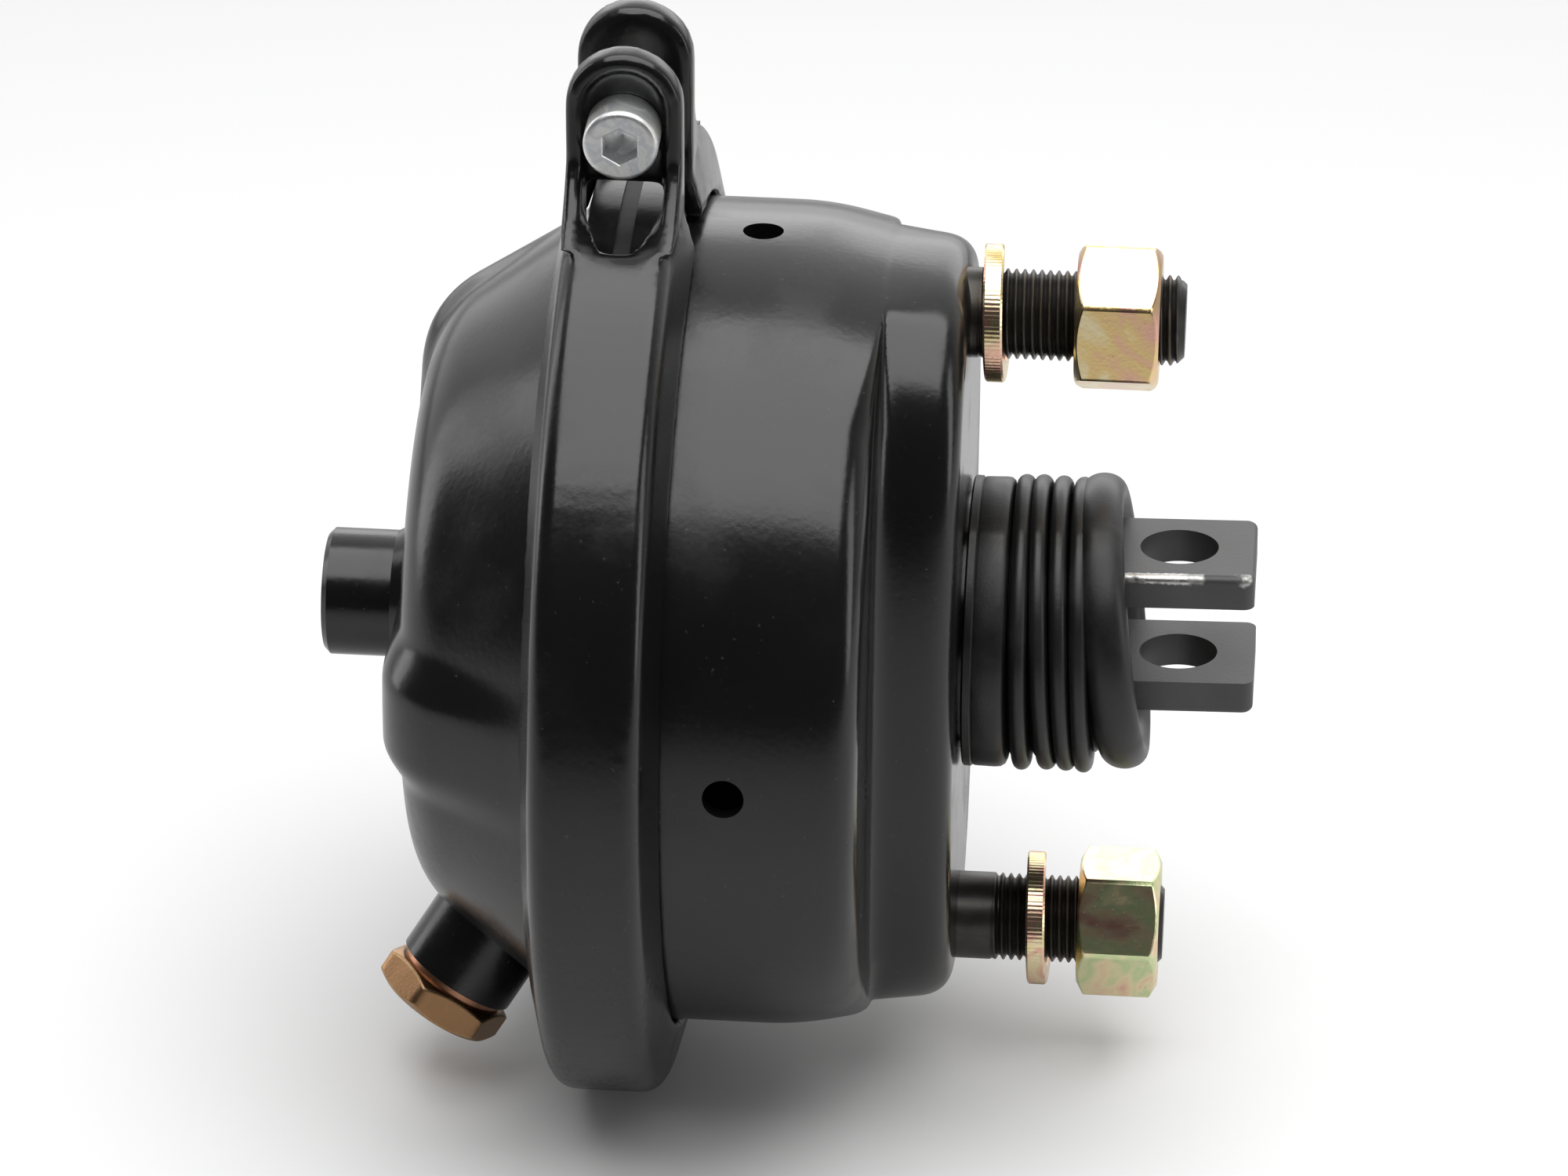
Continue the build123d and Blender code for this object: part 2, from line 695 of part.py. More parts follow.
cuff_end = cuff_start + cuff_length
bellows_end = cuff_end + fold_count * fold_pitch
bellows_bore = fold_crest - fold_depth - fold_wall
roll_end = bellows_end + 2 * roll_radius
with BuildPart() as boot:
    with BuildSketch(Plane.XZ):
        with BuildLine():
            cuff_corner = (cuff_start, ring_radius + seat_slack + cuff_wall)
            folds = [cuff_corner, (cuff_end, ring_radius + seat_slack + cuff_wall)]
            for index in range(fold_count):
                fold_start = cuff_end + index * fold_pitch
                folds.append((fold_start + fold_pitch * 0.25, fold_crest - fold_depth))
                folds.append((fold_start + fold_pitch * 0.75, fold_crest))
            folds.append((bellows_end, fold_crest - fold_depth))
            Polyline(
                *folds,
                (bellows_end + roll_radius * 0.5, fold_crest),
                (bellows_end + roll_radius * 1.5, fold_crest),
                (roll_end, fold_crest - roll_radius * 0.7),
                (roll_end - roll_radius * 0.5, mouth_radius),
                (fork_body_x - seat_slack, mouth_radius),
                (lip_x + lip_length, fork_base_diameter / 2),
                (lip_x + lip_length, lip_radius),
                (lip_x, lip_radius),
                (lip_x, fork_base_diameter / 2 + lip_length),
                (lip_x + lip_length, bellows_bore),
                (cuff_end, bellows_bore),
                (cuff_end, ring_radius + seat_slack),
                (cuff_start, ring_radius + seat_slack),
                cuff_corner,
            )
        make_face()
    revolve(axis=Axis.X)
    with BuildSketch(rod_plane(0)):
        Circle(fork_base_diameter / 2 + seat_slack)
    extrude(amount=rod_length(0, roll_end), mode=Mode.SUBTRACT)

# Studs screwed into the pad, each with a nut and a split lock washer run out along its thread
studs = {}
stud_nuts = {}
lock_washers = {}
for name, station in stud_stations.items():
    stud_z = station["side"] * stud_spacing / 2
    stud_line = Plane(origin=(0, 0, stud_z), x_dir=(0, 1, 0), z_dir=(1, 0, 0))

    with BuildPart() as stud:
        with BuildSketch(stud_line.offset(-stud_embed)):
            Circle(stud_thread_radius)
        extrude(amount=stud_embed + stud_reach)
        chamfer(stud.faces().sort_by(Axis.X)[-1].edges(), stud_end_chamfer)
        with BuildSketch(stud_line):
            Circle(stud_diameter / 2)
        extrude(amount=station["shank"])
    studs[name] = stud

    with BuildPart() as stud_nut:
        with BuildSketch(stud_line.offset(station["nut"])):
            RegularPolygon(nut_flats / 2, 6, major_radius=False, rotation=station["nut_turn"])
        extrude(amount=nut_height)
        drop = chamfer_drop(nut_flats, nut_chamfer_angle)
        with BuildSketch(Plane(origin=(station["nut"], 0, stud_z), x_dir=(1, 0, 0), z_dir=(0, -1, 0))):
            with BuildLine():
                Polyline(
                    (0, 0),
                    (0, nut_flats / 2 - nut_face_relief),
                    (drop + nut_face_relief * tan(radians(nut_chamfer_angle)),
                     nut_flats / 2 / cos(radians(30))),
                    (nut_height - drop - nut_face_relief * tan(radians(nut_chamfer_angle)),
                     nut_flats / 2 / cos(radians(30))),
                    (nut_height, nut_flats / 2 - nut_face_relief),
                    (nut_height, 0),
                    close=True,
                )
            make_face()
        revolve(axis=Axis((0, 0, stud_z), (1, 0, 0)), mode=Mode.INTERSECT)
        with BuildSketch(stud_line.offset(station["nut"])):
            Circle(stud_thread_radius + thread_slack)
        extrude(amount=nut_height, mode=Mode.SUBTRACT)
    stud_nuts[name] = stud_nut

    with BuildPart() as lock_washer:
        coil_radius = (washer_bore + washer_diameter) / 4
        washer_middle = station["washer"] + washer_thickness / 2
        with BuildLine() as coil:
            Helix(
                pitch=washer_lift,
                height=washer_lift * washer_turn,
                radius=coil_radius,
                center=(washer_middle, 0, stud_z),
                direction=(1, 0, 0),
            )
        with BuildSketch(Plane(origin=coil.line @ 0, x_dir=(1, 0, 0), z_dir=coil.line % 0)):
            Rectangle(washer_thickness, (washer_diameter - washer_bore) / 2)
        sweep(is_frenet=True)
    lock_washers[name] = lock_washer

pieces = {
    "service_housing": service_housing,
    "pressure_housing": pressure_housing,
    "inlet_port_boss": inlet_port_boss,
    "side_port_boss": side_port_boss,
    "plug_seal": plug_seal,
    "port_plug": port_plug,
    "clamp_band": clamp_band,
    "clamp_screw": clamp_screw,
    "clamp_nut": clamp_nut,
    "diaphragm": diaphragm,
    "push_plate": push_plate,
    "push_rod": push_rod,
    "rod_lock_nut": rod_lock_nut,
    "fork": fork,
    "return_spring": return_spring,
    "boot_ring": boot_ring,
    "boot": boot,
}
for name in stud_stations:
    pieces[f"stud_{name}"] = studs[name]
    pieces[f"stud_nut_{name}"] = stud_nuts[name]
    pieces[f"lock_washer_{name}"] = lock_washers[name]

os.makedirs("parts", exist_ok=True)
for name, piece in pieces.items():
    piece.part.label = name
    export_step(piece.part, f"parts/{name}.step")
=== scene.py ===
"""A service brake chamber, dressed piece by piece in the order in which it is put together."""
from math import cos, pi, radians, sin, tan

import bmesh
import bpy
from mathutils import Matrix, Vector, noise


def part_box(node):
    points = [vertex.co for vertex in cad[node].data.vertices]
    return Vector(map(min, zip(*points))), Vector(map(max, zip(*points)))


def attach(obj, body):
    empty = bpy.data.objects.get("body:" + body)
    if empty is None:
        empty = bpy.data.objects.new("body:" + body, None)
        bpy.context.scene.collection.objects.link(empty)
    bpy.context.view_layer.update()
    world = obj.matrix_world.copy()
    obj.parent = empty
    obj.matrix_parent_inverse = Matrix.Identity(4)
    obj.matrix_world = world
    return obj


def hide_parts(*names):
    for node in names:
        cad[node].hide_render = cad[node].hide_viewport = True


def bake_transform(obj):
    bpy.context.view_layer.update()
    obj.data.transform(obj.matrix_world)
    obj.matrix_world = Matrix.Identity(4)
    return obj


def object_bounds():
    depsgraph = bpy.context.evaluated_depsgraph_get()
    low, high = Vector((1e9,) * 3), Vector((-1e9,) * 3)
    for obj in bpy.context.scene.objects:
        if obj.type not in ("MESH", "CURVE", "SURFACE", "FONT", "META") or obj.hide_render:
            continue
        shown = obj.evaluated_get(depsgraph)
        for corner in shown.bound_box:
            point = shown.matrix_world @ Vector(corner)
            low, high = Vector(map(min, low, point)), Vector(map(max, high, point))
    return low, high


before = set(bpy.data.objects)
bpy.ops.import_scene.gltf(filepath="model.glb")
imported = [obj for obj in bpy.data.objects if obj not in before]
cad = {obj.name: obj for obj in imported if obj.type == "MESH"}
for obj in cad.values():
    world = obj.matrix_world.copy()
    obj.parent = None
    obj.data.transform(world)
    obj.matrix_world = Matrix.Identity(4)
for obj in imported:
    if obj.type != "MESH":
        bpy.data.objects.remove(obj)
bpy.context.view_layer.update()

# ---------------------------------------------------------------- camera and studio
# The chamber lies on its clamp band on a pale sweep. A long lens looks a little down on it,
# with the push rod to the right, under one wide overhead softbox.
CAMERA_TURN = radians(4.468)
CAMERA_RISE = radians(25.986)
CAMERA_ROLL = radians(0.637)
CAMERA_DISTANCE = 1.30272
CAMERA_AIM = Vector((-0.032873, 0, 0.004549))
CAMERA_LENS = 166.21

towards_camera = Vector((
    sin(CAMERA_TURN) * cos(CAMERA_RISE), -cos(CAMERA_TURN) * cos(CAMERA_RISE), sin(CAMERA_RISE)
))
level_right = Vector((cos(CAMERA_TURN), sin(CAMERA_TURN), 0))
level_up = towards_camera.cross(level_right)
camera_right = level_right * cos(CAMERA_ROLL) + level_up * sin(CAMERA_ROLL)
camera_up = towards_camera.cross(camera_right)
camera = bpy.data.objects.new("camera", bpy.data.cameras.new("camera"))
camera.data.lens = CAMERA_LENS
camera.data.sensor_width = 36
camera.data.clip_end = 50
camera.matrix_world = Matrix.Translation(CAMERA_AIM + towards_camera * CAMERA_DISTANCE) @ Matrix(
    (camera_right, camera_up, towards_camera)
).transposed().to_4x4()
bpy.context.collection.objects.link(camera)
bpy.context.scene.camera = camera
bpy.context.scene.view_settings.view_transform = "Standard"


class Wire:
    """A shader socket on which arithmetic adds Math nodes, and from which other nodes are made."""

    def __init__(self, tree, socket=None):
        self.tree = tree
        self.socket = socket

    def node(self, kind, settings=None, inputs=(), output=0):
        """Adds a node, sets it, fills its sockets with values or links, and returns one output."""
        made = self.tree.nodes.new(kind)
        for key, value in (settings or {}).items():
            if key == "stops":
                ramp = made.color_ramp
                while len(ramp.elements) < len(value):
                    ramp.elements.new(0.5)
                for element, (place, colour) in zip(ramp.elements, value):
                    element.position = place
                    element.color = colour
            else:
                setattr(made, key, value)
        pairs = inputs.items() if isinstance(inputs, dict) else enumerate(inputs)
        for key, value in pairs:
            if isinstance(value, Wire):
                self.tree.links.new(value.socket, made.inputs[key])
            elif value is not None:
                made.inputs[key].default_value = value
        return Wire(self.tree, made.outputs[output]) if made.outputs else None

    def math(self, operation, *values):
        return self.node("ShaderNodeMath", {"operation": operation}, values)

    def __add__(self, other):
        return self.math("ADD", self, other)

    def __sub__(self, other):
        return self.math("SUBTRACT", self, other)

    def __rsub__(self, other):
        return self.math("SUBTRACT", other, self)

    def __mul__(self, other):
        return self.math("MULTIPLY", self, other)

    __radd__ = __add__
    __rmul__ = __mul__


def new_material(name):
    """A material with an empty tree, and the wire from which its nodes are made."""
    made = bpy.data.materials.new(name)
    made.use_nodes = True
    made.node_tree.nodes.clear()
    return made, Wire(made.node_tree)


def grey(level):
    """An opaque grey."""
    return (level, level, level, 1)


def steps(*pairs):
    """Stops of a colour ramp from pairs of place and grey level."""
    return {"stops": [(place, grey(level)) for place, level in pairs]}


# The room is white where the camera looks. In reflections it is pale behind the object and
# dim in front of it.
world = bpy.data.worlds.new("studio")
bpy.context.scene.world = world
world.use_nodes = True
world.node_tree.nodes.clear()
sky = Wire(world.node_tree)
way = sky.node("ShaderNodeTexCoord", output="Generated")
depth = sky.node("ShaderNodeSeparateXYZ", inputs=[way], output=1)
room = sky.node("ShaderNodeValToRGB", steps((0.0, 0.03), (0.5, 0.06), (0.8, 0.9), (1, 1.3)),
                [depth * 0.5 + 0.5])
seen = sky.node("ShaderNodeLightPath", output="Is Camera Ray")
air = sky.node("ShaderNodeMix", {"data_type": "RGBA"},
               {"Factor": seen, 6: room, 7: grey(1.0)}, output=2)
background = sky.node("ShaderNodeBackground", inputs=[air, 1.0])
sky.node("ShaderNodeOutputWorld", inputs=[background])

FLOOR_SIZE = 6.0
floor_mesh = bpy.data.meshes.new("floor")
half = FLOOR_SIZE / 2
floor_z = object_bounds()[0][2] - 0.0002
floor_mesh.from_pydata([(-half, -half, floor_z), (half, -half, floor_z), (half, half, floor_z),
                        (-half, half, floor_z)], [], [(0, 1, 2, 3)])
floor = bpy.data.objects.new("floor", floor_mesh)
bpy.context.collection.objects.link(floor)
floor_paint, net = new_material("pale sweep")
place = net.node("ShaderNodeNewGeometry", output="Position")
front = net.node("ShaderNodeSeparateXYZ", inputs=[place], output=1)
# Seen in reflections the floor is grey, painted darker the further it reaches towards the camera: painted
# shade for the light that falls off across it.
painted_falloff = net.node("ShaderNodeMapRange", inputs={"Value": front, 1: -0.75, 2: -0.12, 3: 0.03, 4: 0.62})
glossy = net.node("ShaderNodeLightPath", output="Is Glossy Ray")
tone = net.node("ShaderNodeMix", {"data_type": "RGBA"},
                {"Factor": glossy, 6: grey(0.80),
                 7: net.node("ShaderNodeCombineColor", inputs=[painted_falloff, painted_falloff, painted_falloff])}, output=2)
sweep_shader = net.node("ShaderNodeBsdfDiffuse", inputs=[tone])
net.node("ShaderNodeOutputMaterial", inputs=[sweep_shader])
floor.data.materials.append(floor_paint)


def softbox(name, size, place, aim, power):
    """A soft rectangular lamp at a place, turned to its aim."""
    lamp = bpy.data.objects.new(name, bpy.data.lights.new(name, "AREA"))
    lamp.data.shape = "RECTANGLE"
    lamp.data.size, lamp.data.size_y = size
    lamp.data.energy = power
    lamp.location = place
    lamp.rotation_euler = (Vector(place) - Vector(aim)).to_track_quat("Z", "Y").to_euler()
    bpy.context.collection.objects.link(lamp)


softbox("overhead softbox", (1.25, 1.15), (0.06, -0.17, 0.95), (0.06, 0, 0), 15.4)
softbox("left strip", (0.35, 1.0), (-1.1, 0.35, 0.35), (-0.06, 0, 0), 2.0)
softbox("right strip", (0.35, 0.9), (1.15, -0.25, 0.35), (0, 0, 0), 2.4)
softbox("back wash", (1.6, 0.5), (0, 1.3, 0.5), (0, 0, 0), 3.0)


# ---------------------------------------------------------------- pressure housing
# The cover is a deep steel pressing under thick black enamel. Three ridges swell out of its
# cone and flat end with soft flanks, and its flange runs out under the clamp band.
MM = 0.001
DRUM_RADIUS = 74.2 * MM
WALL = 3.0 * MM
FLANGE_RADIUS = 82.0 * MM
FLANGE_EDGE = 5.2 * MM
FLANGE_SLOPE = tan(radians(15))
COVER_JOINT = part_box("pressure_housing")[1].x
COVER_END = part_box("pressure_housing")[0].x
COVER_HUB = 7.8 * MM
COVER_HUB_EDGE = 14.0 * MM
COVER_RIM = (-96.3 * MM, 51.5 * MM)
COVER_FOOT = (-70.5 * MM, 70.6 * MM)
COVER_WALL_END = -67.2 * MM
COVER_FLOOR = -97.0 * MM
COVER_INSIDE = [(-69.0 * MM, 67.2 * MM), (-94.6 * MM, 47.5 * MM), (COVER_FLOOR, 40.0 * MM),
                (COVER_FLOOR, COVER_HUB)]
RIDGE_START = 30.0 * MM
RIDGE_RIM = 53.0 * MM
RIDGE_FOOT = (-73.0 * MM, 69.6 * MM)
RIDGE_FLAT = 5.5 * MM
RIDGE_SPREAD = 15.0 * MM
ROUND_STEPS = 288
COVER_ROWS = 84


def build_piece(name, points, faces, material, body, crease=30):
    """A mesh piece in the row frame, shaded smoothly up to a crease angle, riding on a body."""
    shape = bmesh.new()
    verts = [shape.verts.new(point) for point in points]
    for face in faces:
        corners = [verts[index] for index in dict.fromkeys(face)]
        if len(corners) > 2 and not shape.faces.get(corners):
            shape.faces.new(corners)
    bmesh.ops.remove_doubles(shape, verts=shape.verts, dist=0.000001)
    bmesh.ops.recalc_face_normals(shape, faces=shape.faces)
    mesh = bpy.data.meshes.new(name)
    shape.to_mesh(mesh)
    shape.free()
    mesh.materials.append(material)
    mesh.shade_smooth()
    mesh.set_sharp_from_angle(angle=radians(crease))
    piece = bpy.data.objects.new(name, mesh)
    bpy.context.collection.objects.link(piece)
    if body:
        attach(piece, body)
    return piece


def grid_faces(rows, columns, wrap_rows=False, wrap_columns=True):
    """Quads between the points of a grid stored row by row."""
    faces = []
    for row in range(rows if wrap_rows else rows - 1):
        for column in range(columns if wrap_columns else columns - 1):
            below = (row + 1) % rows
            beside = (column + 1) % columns
            faces.append((row * columns + column, row * columns + beside,
                          below * columns + beside, below * columns + column))
    return faces


def turned(profile, centre, steps_round):
    """Points and faces of a profile of (x, radius) turned about a line parallel to X."""
    points = []
    for x, radius in profile:
        for step in range(steps_round):
            angle = 2 * pi * step / steps_round
            points.append((x, centre[0] + radius * cos(angle), centre[1] + radius * sin(angle)))
    return points, grid_faces(len(profile), steps_round)


def soften(corners, spacing):
    """Points along a line whose corners (x, radius, rounding) are rounded."""
    path = []
    for index, (x, radius, rounding) in enumerate(corners):
        here = Vector((x, radius))
        if rounding == 0 or index in (0, len(corners) - 1):
            path.append(here)
            continue
        back = Vector(corners[index - 1][:2]) - here
        ahead = Vector(corners[index + 1][:2]) - here
        reach = min(rounding, back.length * 0.49, ahead.length * 0.49)
        start = here + back.normalized() * reach
        end = here + ahead.normalized() * reach
        for step in range(11):
            share = step / 10
            path.append(start * (1 - share) ** 2 + here * 2 * share * (1 - share) + end * share ** 2)
    dense = [path[0]]
    for before, after in zip(path, path[1:]):
        count = max(1, int((after - before).length / spacing))
        dense += [before.lerp(after, (step + 1) / count) for step in range(count)]
    return dense


def resample(path, count):
    """Evenly spaced points along a path."""
    lengths = [0]
    for before, after in zip(path, path[1:]):
        lengths.append(lengths[-1] + (after - before).length)
    spaced = []
    index = 0
    for step in range(count):
        reach = lengths[-1] * step / (count - 1)
        while index < len(path) - 2 and lengths[index + 1] < reach:
            index += 1
        span = max(lengths[index + 1] - lengths[index], 1e-9)
        spaced.append(path[index].lerp(path[index + 1], (reach - lengths[index]) / span))
    return spaced


def smooth(value, low, high):
    """Rises softly from 0 to 1 while a value goes from low to high."""
    share = min(1, max(0, (value - low) / (high - low)))
    return share * share * (3 - 2 * share)


def coating(name, base, spread, roughness, peel_size, peel_depth, grit):
    """Sprayed paint or moulded rubber: an uneven gloss over a fine peel, with specks of dust."""
    made, net = new_material(name)
    spot = net.node("ShaderNodeTexCoord", output="Object")
    cloud = net.node("ShaderNodeTexNoise", inputs={"Vector": spot, "Scale": 55, "Detail": 5})
    speck = net.node("ShaderNodeTexNoise", inputs={"Vector": spot, "Scale": 1100, "Detail": 2})
    peel = net.node("ShaderNodeTexNoise",
                    inputs={"Vector": spot, "Scale": 1 / peel_size, "Detail": 2, "Roughness": 0.45})
    dust = grit * net.node("ShaderNodeMapRange", inputs={"Value": speck, 1: 0.70, 2: 0.80})
    tint = net.node("ShaderNodeMix", {"data_type": "RGBA"},
                    {"Factor": cloud, 6: grey(base), 7: grey(base + spread)}, output=2)
    tint = net.node("ShaderNodeMix", {"data_type": "RGBA"},
                    {"Factor": dust, 6: tint, 7: (0.30, 0.28, 0.25, 1)}, output=2)
    rubbed_and_highlight = net.node("ShaderNodeMapRange", inputs={"Value": cloud, 1: 0.52, 2: 0.66})
    dull = roughness + rubbed_and_highlight * 0.09 + (speck - 0.5) * 0.08 + dust * 0.3
    surface = net.node("ShaderNodeBump", inputs={"Strength": 1.0, "Distance": peel_depth, "Height": peel})
    shader = net.node("ShaderNodeBsdfPrincipled",
                      inputs={"Base Color": tint, "Roughness": dull, "Normal": surface})
    net.node("ShaderNodeOutputMaterial", inputs=[shader])
    return made


enamel = coating("black enamel", 0.004, 0.004, 0.20, 0.0012, 0.00002, 0.12)
cone_line = soften([(COVER_END, COVER_HUB, 0), (COVER_END, COVER_HUB_EDGE, 6 * MM), (*COVER_RIM, 9 * MM),
                    (*COVER_FOOT, 3 * MM), (COVER_WALL_END, DRUM_RADIUS, 0)], 1.2 * MM)
ridge_line = soften([(COVER_END, COVER_HUB, 0), (COVER_END, RIDGE_START, 3 * MM),
                     (COVER_END, RIDGE_RIM, 17 * MM), (*RIDGE_FOOT, 3 * MM),
                     (COVER_WALL_END, DRUM_RADIUS, 0)], 1.2 * MM)
points = []
for plain, raised in zip(resample(cone_line, COVER_ROWS), resample(ridge_line, COVER_ROWS)):
    for step in range(ROUND_STEPS):
        angle = 2 * pi * step / ROUND_STEPS
        nearest = (angle - pi + pi / 3) % (2 * pi / 3) - pi / 3
        aside = plain.y * abs(sin(nearest))
        x, radius = plain.lerp(raised, 1 - smooth(aside, RIDGE_FLAT, RIDGE_SPREAD))
        points.append((x, radius * cos(angle), radius * sin(angle)))
flange_root = FLANGE_EDGE + (FLANGE_RADIUS - DRUM_RADIUS) * FLANGE_SLOPE
flange = [(COVER_JOINT - flange_root, DRUM_RADIUS), (COVER_JOINT - FLANGE_EDGE, FLANGE_RADIUS),
          (COVER_JOINT, FLANGE_RADIUS), (COVER_JOINT, DRUM_RADIUS - WALL), *COVER_INSIDE,
          (COVER_END, COVER_HUB)]
inside, _ = turned(flange, (0, 0), ROUND_STEPS)
faces = grid_faces(COVER_ROWS + len(flange), ROUND_STEPS)
cover = build_piece("cover_pressing", points + inside, faces, enamel, "chamber", 40)
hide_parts("pressure_housing")


# ---------------------------------------------------------------- ports
# The inlet and the closed side port are turned steel bosses, welded to the cover and sprayed
# with the same enamel.
def dress(node, material, crease=30):
    """Gives a CAD piece its finish and shades its curved faces smoothly."""
    piece = cad[node]
    piece.data.materials.clear()
    piece.data.materials.append(material)
    piece.data.shade_smooth()
    piece.data.set_sharp_from_angle(angle=radians(crease))


for name in ("inlet_port_boss", "side_port_boss"):
    dress(name, enamel)


# ---------------------------------------------------------------- side plug and its seal
# A hexagon plug under a copper coloured plate closes the side port on a soft copper ring. Its
# corners have been rubbed to a paler gold by the spanner.
PLUG_FLATS = 22.0 * MM
PLUG_HEAD = 6.0 * MM
PLUG_SHANK = 7.15 * MM
PLUG_DEPTH = 9.0 * MM
PLUG_CORE = 0.1 * MM
PLUG_SINK = 0.5 * MM
PLUG_TURN = radians(12)
PORT_TILT = radians(32)
PORT_CLOCK = radians(-75)
SEAL = 1.5 * MM
PLUG_STEPS = 120
SHANK_STEPS = 60
NUT_CHAMFER = radians(30)
NUT_EDGE_ROUND = 0.25 * MM
NUT_CORNER = 0.985
NUT_LEAD = 1.1 * MM
NUT_LEAD_DEPTH = 1.2 * MM


def nut_points(start, length, centre, flats, face_radius, bore, turn, steps_round):
    """Points of a chamfered hexagon nut, row by row from the bore's start round to its end."""
    rows = []
    for step in range(steps_round):
        angle = 2 * pi * step / steps_round
        sector = (angle - turn + pi / 6) % (pi / 3) - pi / 6
        flat_radius = min(flats / 2 / cos(sector), flats / 2 / cos(pi / 6) * NUT_CORNER)
        drop = max(0, flat_radius - face_radius) * tan(NUT_CHAMFER)
        soft = NUT_EDGE_ROUND
        profile = [
            (NUT_LEAD_DEPTH, bore), (0, bore + NUT_LEAD),
            (0, face_radius - soft), (soft * 0.1, face_radius),
            (drop - soft * 0.4, flat_radius - soft * 0.7), (drop + soft * 0.7, flat_radius),
            (length * 0.5, flat_radius),
            (length - drop - soft * 0.7, flat_radius),
            (length - drop + soft * 0.4, flat_radius - soft * 0.7),
            (length - soft * 0.1, face_radius), (length, face_radius - soft),
            (length, bore + NUT_LEAD), (length - NUT_LEAD_DEPTH, bore),
        ]
        rows.append([(start + x, centre[0] + reach * cos(angle), centre[1] + reach * sin(angle))
                     for x, reach in profile])
    return [point for row in rows for point in row], len(rows[0])


def plated_edges(name, body_tint, edge_tint, edge_width, roughness):
    """Thin plate, streaked and stained, rubbed to another tint along the edges."""
    made, net = new_material(name)
    spot = net.node("ShaderNodeTexCoord", output="Object")
    cloud = net.node("ShaderNodeTexNoise", inputs={"Vector": spot, "Scale": 190, "Detail": 5})
    speck = net.node("ShaderNodeTexNoise", inputs={"Vector": spot, "Scale": 1600, "Detail": 4})
    flat = net.node("ShaderNodeNewGeometry", output="Normal")
    eased = net.node("ShaderNodeBevel", {"samples": 8}, {"Radius": edge_width})
    bend = net.node("ShaderNodeVectorMath", {"operation": "DOT_PRODUCT"}, [flat, eased], output="Value")
    worn = net.node("ShaderNodeMapRange",
                    inputs={"Value": 1 - bend + (cloud - 0.5) * 0.05, 1: 0.01, 2: 0.09})
    dark = tuple(level * 0.55 for level in body_tint[:3]) + (1,)
    tint = net.node("ShaderNodeMix", {"data_type": "RGBA"},
                    {"Factor": cloud, 6: dark, 7: body_tint}, output=2)
    tint = net.node("ShaderNodeMix", {"data_type": "RGBA"},
                    {"Factor": worn, 6: tint, 7: edge_tint}, output=2)
    surface = net.node("ShaderNodeBump",
                       inputs={"Strength": 1.0, "Distance": 0.00003, "Height": speck, "Normal": eased})
    shader = net.node("ShaderNodeBsdfPrincipled",
                      inputs={"Base Color": tint, "Metallic": 1.0,
                              "Roughness": roughness + (cloud - 0.5) * 0.25 + (speck - 0.5) * 0.15,
                              "Normal": surface})
    net.node("ShaderNodeOutputMaterial", inputs=[shader])
    return made


plug_out = Vector((-sin(PORT_TILT), -cos(PORT_CLOCK) * cos(PORT_TILT), sin(PORT_CLOCK) * cos(PORT_TILT)))
plug_side = plug_out.cross(Vector((1, 0, 0))).normalized()
plug_up = plug_side.cross(plug_out)
seal_low, seal_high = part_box("plug_seal")
plug_seat = (seal_low + seal_high) / 2 + plug_out * SEAL / 2
flat_points, plug_rows = nut_points(0, PLUG_HEAD, (0, 0), PLUG_FLATS, PLUG_FLATS / 2 - 0.3 * MM,
                                    PLUG_CORE, PLUG_TURN, PLUG_STEPS)
shank, shank_faces = turned([(-SEAL - PLUG_DEPTH, PLUG_CORE), (-SEAL - PLUG_DEPTH, PLUG_SHANK),
                             (PLUG_SINK, PLUG_SHANK), (PLUG_SINK, PLUG_CORE)], (0, 0), SHANK_STEPS)
faces = grid_faces(PLUG_STEPS, plug_rows, wrap_rows=True)
faces += [tuple(index + len(flat_points) for index in face) for face in shank_faces]
points = [tuple(plug_seat + plug_out * x + plug_side * y + plug_up * z) for x, y, z in flat_points + shank]
copper_plate = plated_edges("copper plate", (0.46, 0.26, 0.13, 1), (0.72, 0.58, 0.34, 1), 0.0007, 0.34)
plug = build_piece("hexagon_plug", points, faces, copper_plate, "chamber", 22)
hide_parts("port_plug")
soft_copper = plated_edges("soft copper", (0.66, 0.33, 0.20, 1), (0.80, 0.50, 0.34, 1), 0.0003, 0.35)
dress("plug_seal", soft_copper, 20)


# ---------------------------------------------------------------- diaphragm
# The moulded rubber sheet is clamped by its rim between the flanges and lies dished back against
# the cover. Its middle travels with the push plate, so its skirt rolls as the rod moves.
SHEET = 3.0 * MM
RIM_RADIUS = 81.5 * MM
SHEET_STEPS = 96
rim_low, rim_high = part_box("diaphragm")
dish_line = soften([(rim_high.x - SHEET, RIM_RADIUS, 0), (rim_high.x - SHEET, 69.5 * MM, 5 * MM),
                    (rim_low.x + 3.5 * MM, 47.0 * MM, 9 * MM), (rim_low.x + 0.2 * MM, 38.0 * MM, 6 * MM),
                    (rim_low.x + 0.2 * MM, 0.2 * MM, 0)], 1.5 * MM)
back = [(x, radius) for x, radius in dish_line]
front = [(x + SHEET, radius) for x, radius in reversed(dish_line)]
points, faces = turned(back + front, (0, 0), SHEET_STEPS)
last_row = len(points) - SHEET_STEPS
faces += [(step, (step + 1) % SHEET_STEPS, last_row + (step + 1) % SHEET_STEPS, last_row + step)
          for step in range(SHEET_STEPS)]
sheet_rubber = coating("sheet rubber", 0.010, 0.010, 0.55, 0.0015, 0.00004, 0.3)
sheet = build_piece("diaphragm_sheet", points, faces, sheet_rubber, None, 50)
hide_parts("diaphragm")
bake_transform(sheet)


